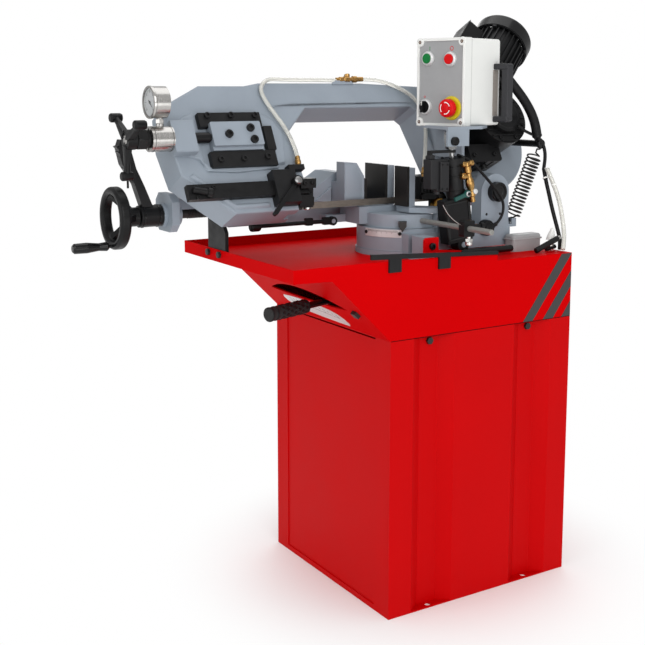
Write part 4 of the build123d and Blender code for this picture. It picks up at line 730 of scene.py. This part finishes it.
# raised pads and edge of the casting
bm = bmesh.new()
B0 = bow_at(40)
for outer in ([(-602, 108), (-578, 104), (-557, 95), (-549, 79), (-549, 205), (-575, 196), (-604, 168)],
              [(-556, 94), (-547, 71), (-479, 66), (-378, 72), (-378, 77), (-538, 77)],
              [(-384, 78), (-362, 80), (-352, 150), (-372, 190), (-398, 203), (-398, 118), (-384, 116)]):
    cx = sum(p[0] for p in outer) / len(outer)
    cy = sum(p[1] for p in outer) / len(outer)
    add_prism(bm, B0, outer, -1, 5.5, [(cx + (x - cx) * 0.93, cy + (y - cy) * 0.90) for x, y in outer])
add_prism(bm, B0, [(-590, 62), (-502, -14), (-420, -14), (-420, 0), (-497, 0), (-577, 70)], -1, 5, [(-584, 62), (-501, -9), (-424, -9), (-424, -4), (-499, -4), (-579, 66)])
add_prism(bm, B0, [(-360, 214), (-300, 221), (10, 221), (10, 224), (-300, 224), (-360, 218)], -1, 2.4)
done(bm, "casting_pads", GREY, "bow", bevel=1.6, seg=3)

# brass fitting on the beam
bm = bmesh.new()
BF = bow_at(0)
add_prism(bm, BF, [(-194, 268), (-134, 268), (-140, 277), (-150, 279.5), (-178, 279.5), (-188, 275)], 20, 43)
done(bm, "fitting_lug", GREY, "bow", bevel=1.5)
bm = bmesh.new()
add_lathe(bm, between(bow(-178, 281, 39), bow(-108, 281.4, 42)),
          [(0, 0), (5.2, 0), (5.2, 8), (6.6, 9), (6.6, 17), (5.0, 19), (7.6, 21), (7.6, 33), (5.4, 35), (5.4, 42), (7.6, 43), (7.6, 53), (5.4, 55), (5.4, 70), (0, 70)], 24)
add_lathe(bm, between(bow(-147, 281, 40), bow(-147, 291, 42)), [(0, 0), (5.4, 0), (5.4, 6), (6.4, 7), (6.4, 12), (5, 13), (0, 13)], 20)
add_lathe(bm, between(bow(-336.4, 92, 53.2), bow(-343, 62, 58.4)), [(0, 0), (5.5, 0), (5.5, 9), (6.6, 10), (6.6, 17), (5, 19), (5, 30), (0, 30)], 20)
add_lathe(bm, between(bow(-9.6, 56, 46.4), bow(-19, 32, 45.2)), [(0, 0), (5.5, 0), (5.5, 8), (6.6, 9), (6.6, 16), (5, 18), (5, 26), (0, 26)], 20)
done(bm, "hose_nipples", BRASS, "bow", bevel=0.3)

# ------------------------------------------------------------------ feed cylinder
FB = along_y(0, 0, 0)
bm = bmesh.new()
add_box(bm, FB, -92, -46, 897, 960, 130, 158)
add_box(bm, FB, -70, -47, 891, 955, 157, 163)
add_lathe(bm, level(884, -66, -146), [(0, 0), (6.5, 0), (6.5, 8), (8.5, 9), (8.5, 14), (0, 14)], 24)
add_prism(bm, FB, [(-90, 960), (-78, 960), (-76, 968), (-84, 971), (-90, 967)], 134, 152)
done(bm, "switch_box", SWITCH, "feed_barrel", bevel=1.6)
bm = bmesh.new()
for z in (897, 949):
    for x in (-65, -52):
        socket_screw(bm, along_y(x, -163, z), 4.4, 1.4)
for t in (118, 150, 170):
    add_lathe(bm, FEED @ Matrix.Translation((0, 0, t)), [(20, 0), (21.2, 0.6), (21.2, 3.4), (20, 4), (20, 0)], 40)
for k in range(4):
    a = radians(45 + 90 * k)
    socket_screw(bm, FEED @ Matrix.Translation((21.5 * cos(a), 21.5 * sin(a), 191)), 7, 4)
done(bm, "cylinder_trim", BLACK_CAST, "feed_barrel", bevel=0.5)
bm = bmesh.new()
add_box(bm, FEED, -40, 26, -16.6, -15, 14, 18)
add_box(bm, FEED, -40, 26, -16.6, -15, 92, 97)
add_box(bm, FEED, -40, -34, -16.6, -15, 18, 92)
add_box(bm, FEED, 20, 26, -16.6, -15, 18, 92)
done(bm, "cylinder_rim", BLACK_GLOSS, "feed_barrel", bevel=0.5)
bm = bmesh.new()
add_box(bm, FB, -88, -20, 973, 979, 137, 151)
add_box(bm, FB, -88, -83, 962, 975, 137, 151)
done(bm, "rod_strap", BLACK, "feed_piston", bevel=0.8)
bm = bmesh.new()
add_lathe(bm, between((-3, -166, 952), (17, -166, 866)),
          [(0, 0), (5.4, 0), (5.4, 8), (8.2, 9), (8.2, 22), (6.2, 24), (6.2, 33), (7.6, 36), (9.4, 40), (9.4, 53), (7.8, 56), (7.8, 62), (9.4, 64), (9.4, 74), (6.2, 76), (6.2, 88), (0, 88)], 24)
add_lathe(bm, between((-16, -166, 948), (15, -166, 951)), [(0, 0), (4.8, 0), (6.4, 1.5), (6.4, 8), (4.4, 9.5), (4.4, 21), (6.4, 22.5), (6.4, 29), (4.8, 31), (0, 31)], 24)
add_lathe(bm, between((2, -166, 921), (-18, -166, 924)), [(0, 0), (5, 0), (5, 9), (7.6, 10), (7.6, 18), (6, 20), (0, 20)], 20)
done(bm, "brass_valve", BRASS, "feed_barrel", bevel=0.3)
bm = bmesh.new()
add_lathe(bm, along_y(15.8, -169.5, 889), [(0, 0), (4.0, 0), (6.0, 2.2), (6.4, 4.8), (5.4, 7.4), (2.8, 8.6), (0, 8.8)], 28)
add_lathe(bm, along_y(-2.8, -173.6, 884.6), [(0, 0), (5.6, 0), (5.6, 2.6), (4.6, 3.4), (0, 3.4)], 24)
done(bm, "valve_knob", SILVER, "feed_valve")

# ------------------------------------------------------------------ column
hub_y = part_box("pivot_shaft")[0].y * 1000.0
bm = bmesh.new()
add_lathe(bm, along_y(115, hub_y, 880), [(0, 0.4), (9, 0.4), (10, 1.2), (15, 1.2), (16.2, 2.8), (20.6, 2.6), (22.2, 0.8), (22.2, -4), (0, -4)], 48)
done(bm, "hub_cap", BLACK_GLOSS, "swivel")
col_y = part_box("column")[0].y * 1000.0
# dark discs painted as the shade inside the column's holes
bm = bmesh.new()
for x, z in ((91, 830), (130, 829), (130, 794)):
    if z > 797:
        add_lathe(bm, along_y(x, -125, z), [(0, 0.25), (2.6, 0.25), (3.2, 0.0), (3.2, -0.5), (0, -0.5)], 20)
done(bm, "column_hole_shades", HOLE_SHADE, "swivel")
bm = bmesh.new()
add_lathe(bm, along_y(84, -124, 801), [(0, 0), (17.4, 0), (17.8, 1.2), (17.8, 15), (16.2, 18.5), (12, 19.5), (11, 22.5), (5, 24), (0, 24)], 40)
add_lathe(bm, between((92, -140, 803), (108, -146, 812)), [(0, 0), (6, 0), (6, 6), (4.6, 8), (4.6, 15), (0, 15)], 20)
done(bm, "limit_switch", PLASTIC, "swivel", bevel=0.4)

# degree scale on the drum
SWX, SWY = -58.0, -8.0
bm = bmesh.new()
prev = None
for k in range(41):
    a = radians(183 + 50.5 * k / 40)
    row = [bm.verts.new(Vector((SWX + r * cos(a), SWY + r * sin(a), z)) * MM) for r, z in ((102.9, 787.5), (103.9, 788), (103.9, 804.5), (102.9, 805))]
    if prev:
        for j in range(3):
            bm.faces.new((prev[j], row[j], row[j + 1], prev[j + 1]))
        bm.faces.new((prev[3], row[3], row[0], prev[0]))
    else:
        bm.faces.new(row)
    prev = row
bm.faces.new(list(reversed(prev)))
done(bm, "drum_scale", SILVER, "swivel")


def on_drum(deg, z):
    a = radians(deg)
    return frame_of((SWX + 103.9 * cos(a), SWY + 103.9 * sin(a), z), (-sin(a), cos(a), 0), (cos(a), sin(a), 0))


bm = bmesh.new()
for k in range(37):
    d = 188 + 40.5 * k / 36
    add_box(bm, on_drum(d, 804), -0.28, 0.28, -(8.0 if k % 6 == 0 else 5.2), -0.8, -0.1, 0.2)
done(bm, "drum_ticks", INK, "swivel")
bm = bmesh.new()
for d in (185.0, 231.5):
    socket_screw(bm, on_drum(d, 796.5), 8.0, 2.4)
done(bm, "drum_screws", BLACK, "swivel")

# crescent scale and its ticks on the sloping panel
CRES_T = [(118, 130), (68, 126), (7, 125.5), (-45, 132), (-72, 137), (-92, 146), (-103, 160), (-107, 177)]
CRES_B = [(-100, 184), (-59, 183), (-8, 181), (25, 179), (57, 176.5), (90, 171), (115, 164), (126, 152), (127, 139)]
bm = bmesh.new()
add_prism(bm, SLOPE, CRES_T + CRES_B, 0, 0.9)
done(bm, "slope_scale", SILVER, "stand")
bm = bmesh.new()
for k in range(13):
    f = k / 12
    yy = 96 - 178 * f
    top = 127 + 16 * max(0.0, f - 0.45) * 1.6
    add_box(bm, SLOPE, yy - 0.5, yy + 0.5, top + 7, top + (20 if k % 3 == 0 else 14), 0.85, 1.05)
for k in range(16):
    f0, f1 = k / 16, (k + 1) / 16
    y0, y1 = 98 - 184 * f0, 98 - 184 * f1
    w0, w1 = 148 + 10 * f0 ** 2 * 1.4, 148 + 10 * f1 ** 2 * 1.4
    add_prism(bm, SLOPE, [(y0, w0), (y1, w1), (y1, w1 + 0.9), (y0, w0 + 0.9)], 0.85, 1.05)
done(bm, "slope_ticks", INK, "stand")

# joint lines of tray, cabinet and access panel
bm = bmesh.new()
add_box(bm, along_y(0, -236, 0), -247.4, 247.4, 599.4, 601.0, -0.3, 0.25)
lo, hi = (v * 1000.0 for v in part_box("front_panel"))
for y in (lo.y, hi.y):
    add_box(bm, level(0), lo.x - 0.3, lo.x + 0.3, y - 0.8, y + 0.8, lo.z, hi.z)
done(bm, "sheet_joints", JOINT, "stand")

# stripes on the tray
bm = bmesh.new()
TY = along_y(0, -236, 0)
for pts in ([(107, 601), (135, 601), (246.5, 742), (247.3, 744.3), (217.5, 744.3)], [(165.5, 601), (195.5, 601), (247.3, 669), (247.3, 705)], [(221, 601), (247.3, 601), (247.3, 636)]):
    add_prism(bm, TY, pts, -0.2, 0.4)
done(bm, "tray_stripes", STRIPE, "stand")

# lock lever bolt, bracket screw, stop rod end, stop screw
bm = bmesh.new()
socket_screw(bm, along_y(-104, -180.4, 779), 15.0, 6.0)
done(bm, "lock_bolt", BLACK_GLOSS, "stand")
bm = bmesh.new()
add_lathe(bm, along_y(-30, -156.5, 998), [(0, 7.4), (3.4, 7.4), (4.2, 8.6), (7.4, 8.6), (9.4, 6.6), (9.6, 0), (0, 0)], 32)
done(bm, "bracket_screw", BLACK_GLOSS, "bow")
bm = bmesh.new()
add_lathe(bm, level(787, -64, -253), [(0, 0), (6.4, 0), (7.6, 1.4), (7.6, 7), (4.2, 8), (4.2, 20), (0, 20)], 28)
add_hex(bm, level(795, -64, -253), 14.5, 0, 6)
done(bm, "stop_screw", CHROME, "stop_slider")
bm = bmesh.new()
add_lathe(bm, between((72, -137, 802), (48, -137, 811)), [(0, 0), (4.4, 0), (4.4, 10), (3.2, 11), (3.2, 20), (1.6, 25), (0, 25.6)], 20)
done(bm, "copper_tip", COPPER, "swivel")
t = spline_mesh("stop_wire", [(-133, -253, 875), (-124, -253, 860), (-112, -253, 848), (-100, -253, 839), (-88, -253, 832), (-78, -253, 827)], 0.9)
t.data.materials.clear()
t.data.materials.append(CHROME)
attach(t, "stop_slider")

# ------------------------------------------------------------------ blade guides
bm = bmesh.new()
add_lathe(bm, level(856, -324, -33), [(0, 0), (6.6, 0), (8, 1.4), (8, 11), (6.6, 12.4), (0, 12.4)], 32)
done(bm, "guide_roller", CHROME, "guide")
bm = bmesh.new()
add_lathe(bm, level(857, -344, -33), [(0, 0), (6, 0), (7, 1.4), (7, 9), (6, 10.4), (0, 10.4)], 28)
done(bm, "guide_roller_rear", BURNT, "guide")
bm = bmesh.new()
for x, z in ((-344, 915), (-325, 915), (-344, 893), (-325, 893), (-334, 873)):
    socket_screw(bm, along_y(x, -57 if z > 904 else -45, z), 9.0, 4.0)
add_lathe(bm, between(bow(-596, 27, 61), bow(-562, 20, 61)), [(0, 0), (5, 0), (6.4, 1.5), (6.4, 30), (9.4, 31), (9.4, 40), (7, 42), (0, 42)], 28)
for x, s in ((-586, 12), (-548, 32)):
    socket_screw(bm, bow_at(56, x, s), 9.0, 4.0)
add_prism(bm, along_y(0, -45, 0), [(-352, 866), (-317, 866), (-317, 884), (-326, 890), (-352, 890)], 0, 6)
done(bm, "guide_fittings", BLACK_CAST, "guide", bevel=0.6)
bm = bmesh.new()
add_lathe(bm, bow_at(80.4, -364, 29), [(0, 2.6), (4.5, 2.6), (7.6, 1.6), (8.6, 0), (0, 0)], 32)
done(bm, "guide_lever_cap", STEEL, "guide_clamp")
bm = bmesh.new()
for z, x in ((905, -22), (905, 4), (880, -22), (880, 4)):
    socket_screw(bm, along_y(x, -38, z), 9.0, 4.5)
add_prism(bm, along_y(0, -38, 0), [(-29, 862), (11, 862), (11, 872), (4, 876), (-22, 876), (-29, 872)], 0, 5)
for k in range(5):
    add_box(bm, level(0), -29.5 + 9 * k, -25.5 + 9 * k, -42, -38, 878, 900)
done(bm, "right_guide_trim", BLACK_CAST, "bow", bevel=0.5)

# wire brush
bm = bmesh.new()
WB = along_y(28, -22, 844)
for k in range(64):
    M = frame_m(WB, 0, 0, 0, 360 * k / 64 + (2.0 if k % 2 else 0.0))
    add_prism(bm, M, [(9, -0.55), (17.4 + (k % 3) * 0.35, -0.42), (17.4 + (k % 3) * 0.35, 0.42), (9, 0.55)], 1.4 + (k % 3) * 0.6, 13.2 - (k % 2) * 0.8)
done(bm, "brush_bristles", BRASS_WIRE, "brush")
bm = bmesh.new()
add_lathe(bm, WB, [(3.3, 14.6), (8, 14.6), (10.4, 13.8), (10.4, 12), (3.3, 12), (3.3, 14.6)], 32)
done(bm, "brush_hub", BURNT, "brush")

# ------------------------------------------------------------------ motor and gearbox
bm = bmesh.new()
for k in range(7):
    add_lathe(bm, motor_at(72 + 13 * k), [(35, 0), (41, 1.2), (41, 4.8), (35, 6), (35, 0)], 48)
add_lathe(bm, motor_at(163), [(57, 0), (61, 2), (61, 13), (57, 15), (57, 0)], 56)
for k in range(20):
    M = motor_at(150) @ Matrix.Rotation(2 * pi * k / 20, 4, "Z")
    add_prism(bm, M, [(38, -2), (57, -2), (57, 2), (38, 2)], 0, 14, [(52, -2), (57, -2), (57, 2), (52, 2)])
done(bm, "gearbox_ribs", BLACK_CAST, "bow", bevel=0.6)
bm = bmesh.new()
add_lathe(bm, motor_at(177), [(61, 0), (64.6, 0.5), (65.2, 1.4), (64.6, 2.3), (61, 2.8), (61, 0)], 64)
for k in range(8):
    add_box(bm, motor_at(176) @ Matrix.Rotation(2 * pi * (k + 0.5) / 8, 4, "Z"), 58, 64, -0.9, 0.9, 0, 3)
done(bm, "shield_ring", ROD, "bow", bevel=0.3)
bm = bmesh.new()
for k in range(8):
    a = radians(22.5 + 45 * k)
    socket_screw(bm, bow_at(148, 168 + 58 * cos(a), 134 + 58 * sin(a)), 9, 4)
for k in range(9):
    s0 = 72 + 14 * k
    half = sqrt(max(0.0, 66.0 ** 2 - (s0 - 134) ** 2))
    if half > 12:
        add_box(bm, bow_at(148), 168 - half * 0.96, 168 + half * 0.96, s0 - 1.6, s0 + 1.6, -3, 3.2)
add_lathe(bm, bow_at(160, 168, 134), [(0, 3), (20, 3), (22, 2), (36, 2), (38, 0), (0, 0)], 40)
for k in range(4):
    add_box(bm, bow_at(62), 70 + 20 * k, 75 + 20 * k, 33.6, 36, 4, 54)
socket_screw(bm, bow_at(120, 80, 52), 10, 5)
socket_screw(bm, bow_at(120, 138, 52), 10, 5)
done(bm, "gearbox_trim", BLACK_CAST, "bow", bevel=0.6)
bm = bmesh.new()
add_lathe(bm, motor_at(302), [(66, 0), (69.5, 0.6), (69.5, 2.2), (66, 2.8), (66, 0)], 72)
for k in range(4):
    M = motor_at(296) @ Matrix.Rotation(pi / 4 + pi / 2 * k, 4, "Z")
    add_box(bm, M, 62, 70, -5, 5, 0, 7)
add_prism(bm, motor_at(206), [(-30, -100), (30, -100), (30, -101.5), (-30, -101.5)], 0, 75)
add_lathe(bm, motor_at(204) @ Matrix.Translation((0, -82, 0)) @ Matrix.Rotation(pi, 4, "X"), [(0, 0), (11, 0), (11, 7), (9, 8), (9, 15), (0, 15)], 28)
done(bm, "motor_trim", BLACK_CAST, "bow", bevel=0.7)
bm = bmesh.new()
add_lathe(bm, along_y(255, -121.5, 983), [(0, 1.4), (6, 1.4), (8.8, 0.4), (10.2, -1), (10.2, -3), (0, -3)], 36)
done(bm, "pin_cap", BLACK_GLOSS, "bow")
bm = bmesh.new()
add_lathe(bm, between((246.6, -113, 1004), (250.5, -113, 990)), [(0, 0), (11.4, 0), (11.6, 1), (11.4, 4), (8.4, 7), (6.2, 13.6), (0, 14)], 32)
add_lathe(bm, between((142, -91.6, 1161.4), (146.4, -93.6, 1156)), [(0, 0), (12.6, 0), (13.2, 1), (13.2, 6.4), (11.6, 7.4), (0, 7.4)], 32)
done(bm, "conduit_ends", PLASTIC, "bow", bevel=0.4)
bm = bmesh.new()
for p, q in (((252.6, -138, 907), (252.4, -140, 903.5)), ((261, -157, 893), (261.5, -158.2, 890))):
    add_lathe(bm, between(p, q), [(5.0, 0), (6.2, 0.2), (6.2, 3.6), (5.0, 3.8), (5.0, 0)], 20)
add_box(bm, level(0), 250, 262, -145, -137.6, 926, 929.4)
done(bm, "cable_ties", WHITE, "swivel", bevel=0.3)

# ------------------------------------------------------------------ vise
bm = bmesh.new()
for k in range(6):
    f = k / 5
    x, z = -689 + 20 * f, 992 - 56 * f
    add_prism(bm, along_y(0, 124, 0), [(x + 3, z + 4), (x - 4.5, z + 1), (x + 1, z - 5), (x + 6, z - 4)], 0, 18)
add_box(bm, along_y(0, 126.4, 0), -664, -659, 905, 990, -0.5, 0.4)
done(bm, "lever_teeth", PLASTIC, "quick_clamp", bevel=0.5)
bm = bmesh.new()
for x in (-640, -606):
    add_lathe(bm, along_x(x, 115, 846), [(22.9, 0), (24.2, 0.6), (24.2, 3.4), (22.9, 4), (22.9, 0)], 48)
done(bm, "collar_rings", BLACK_GLOSS, "quick_clamp")
bm = bmesh.new()
for x in range(-535, -352, 4):
    add_lathe(bm, along_x(x, 115, 846), [(9.9, 0), (11.0, 1.1), (11.0, 1.9), (9.9, 3), (9.9, 0)], 24)
done(bm, "screw_thread", BURNT, "vise_drive")
bm = bmesh.new()
add_prism(bm, along_y(0, 62, 0), [(-247, 862), (-206, 856), (-206, 893)], -0.5, 4)
add_prism(bm, along_y(0, 8, 0), [(-201, 856), (-157, 856), (-157, 913), (-174, 942), (-201, 945)], 0.5, 2.6, [(-197, 860), (-161, 860), (-161, 911), (-176, 937), (-197, 940)])
done(bm, "jaw_ribs", GREY, "jaw", bevel=1.2)
LEVER = frame_of((-58, -8, 668), (0, 0, 1), (cos(radians(-161.2)), sin(radians(-161.2)), 0))
bm = bmesh.new()
for k in range(7):
    for j in range(8):
        a = 2 * pi * (j + 0.5 * (k % 2)) / 8
        M = LEVER @ Matrix.Rotation(a, 4, "Z") @ Matrix.Translation((13.2, 0, 349 + 11.6 * k))
        add_prism(bm, M @ Matrix.Rotation(pi / 2, 4, "Y"), [(-5.2, -2.2), (0, -4.2), (5.2, -2.2), (5.2, 2.2), (0, 4.2), (-5.2, 2.2)], -0.4, 1.9,
                  [(-3.8, -1.4), (0, -2.8), (3.8, -1.4), (3.8, 1.4), (0, 2.8), (-3.8, 1.4)])
for t0 in (338.5, 432, 446):
    add_lathe(bm, LEVER @ Matrix.Translation((0, 0, t0)), [(13, 0), (14.8, 1.2), (14.8, 4.2), (13, 5.4), (13, 0)], 40)
done(bm, "grip_texture", PLASTIC, "swivel_clamp")

# pump lid, outlet and pipe
bm = bmesh.new()
add_prism(bm, level(0), [(139, -166.4), (221, -166.4), (223.4, -164), (223.4, -132), (221, -129.6), (139, -129.6), (136.6, -132), (136.6, -164)], 771, 774.6)
done(bm, "pump_lid", PUMP, "stand", bevel=0.8)
bm = bmesh.new()
add_lathe(bm, between((168, -205, 751), (234, -205, 775)), [(0, 0), (6, 0), (6.4, 1), (6.4, 69), (5.4, 70.2), (0, 70.2)], 24)
add_lathe(bm, between((212, -190, 750), (240, -190, 754)), [(0, 0), (5, 0), (5, 28), (0, 28)], 20)
done(bm, "pump_pipe", CABLE, "stand")
bm = bmesh.new()
add_lathe(bm, between((233, -205, 774.6), (241, -205, 777.5)), [(0, 0), (4.4, 0), (4.4, 6), (3.4, 8), (0, 8)], 20)
add_lathe(bm, between((226, -188, 748), (228, -188, 770)), [(0, 0), (6, 0), (6, 7), (8, 8), (8, 14), (5, 16), (5, 22), (0, 22)], 20)
done(bm, "pipe_tip", CHROME, "stand")
bm = bmesh.new()
add_lathe(bm, between((229, -186, 768), (235, -186, 797)), [(0, 0), (10.5, 0), (9.4, 8), (3.4, 28), (0, 29.6)], 28)
done(bm, "funnel", PALE, "stand")
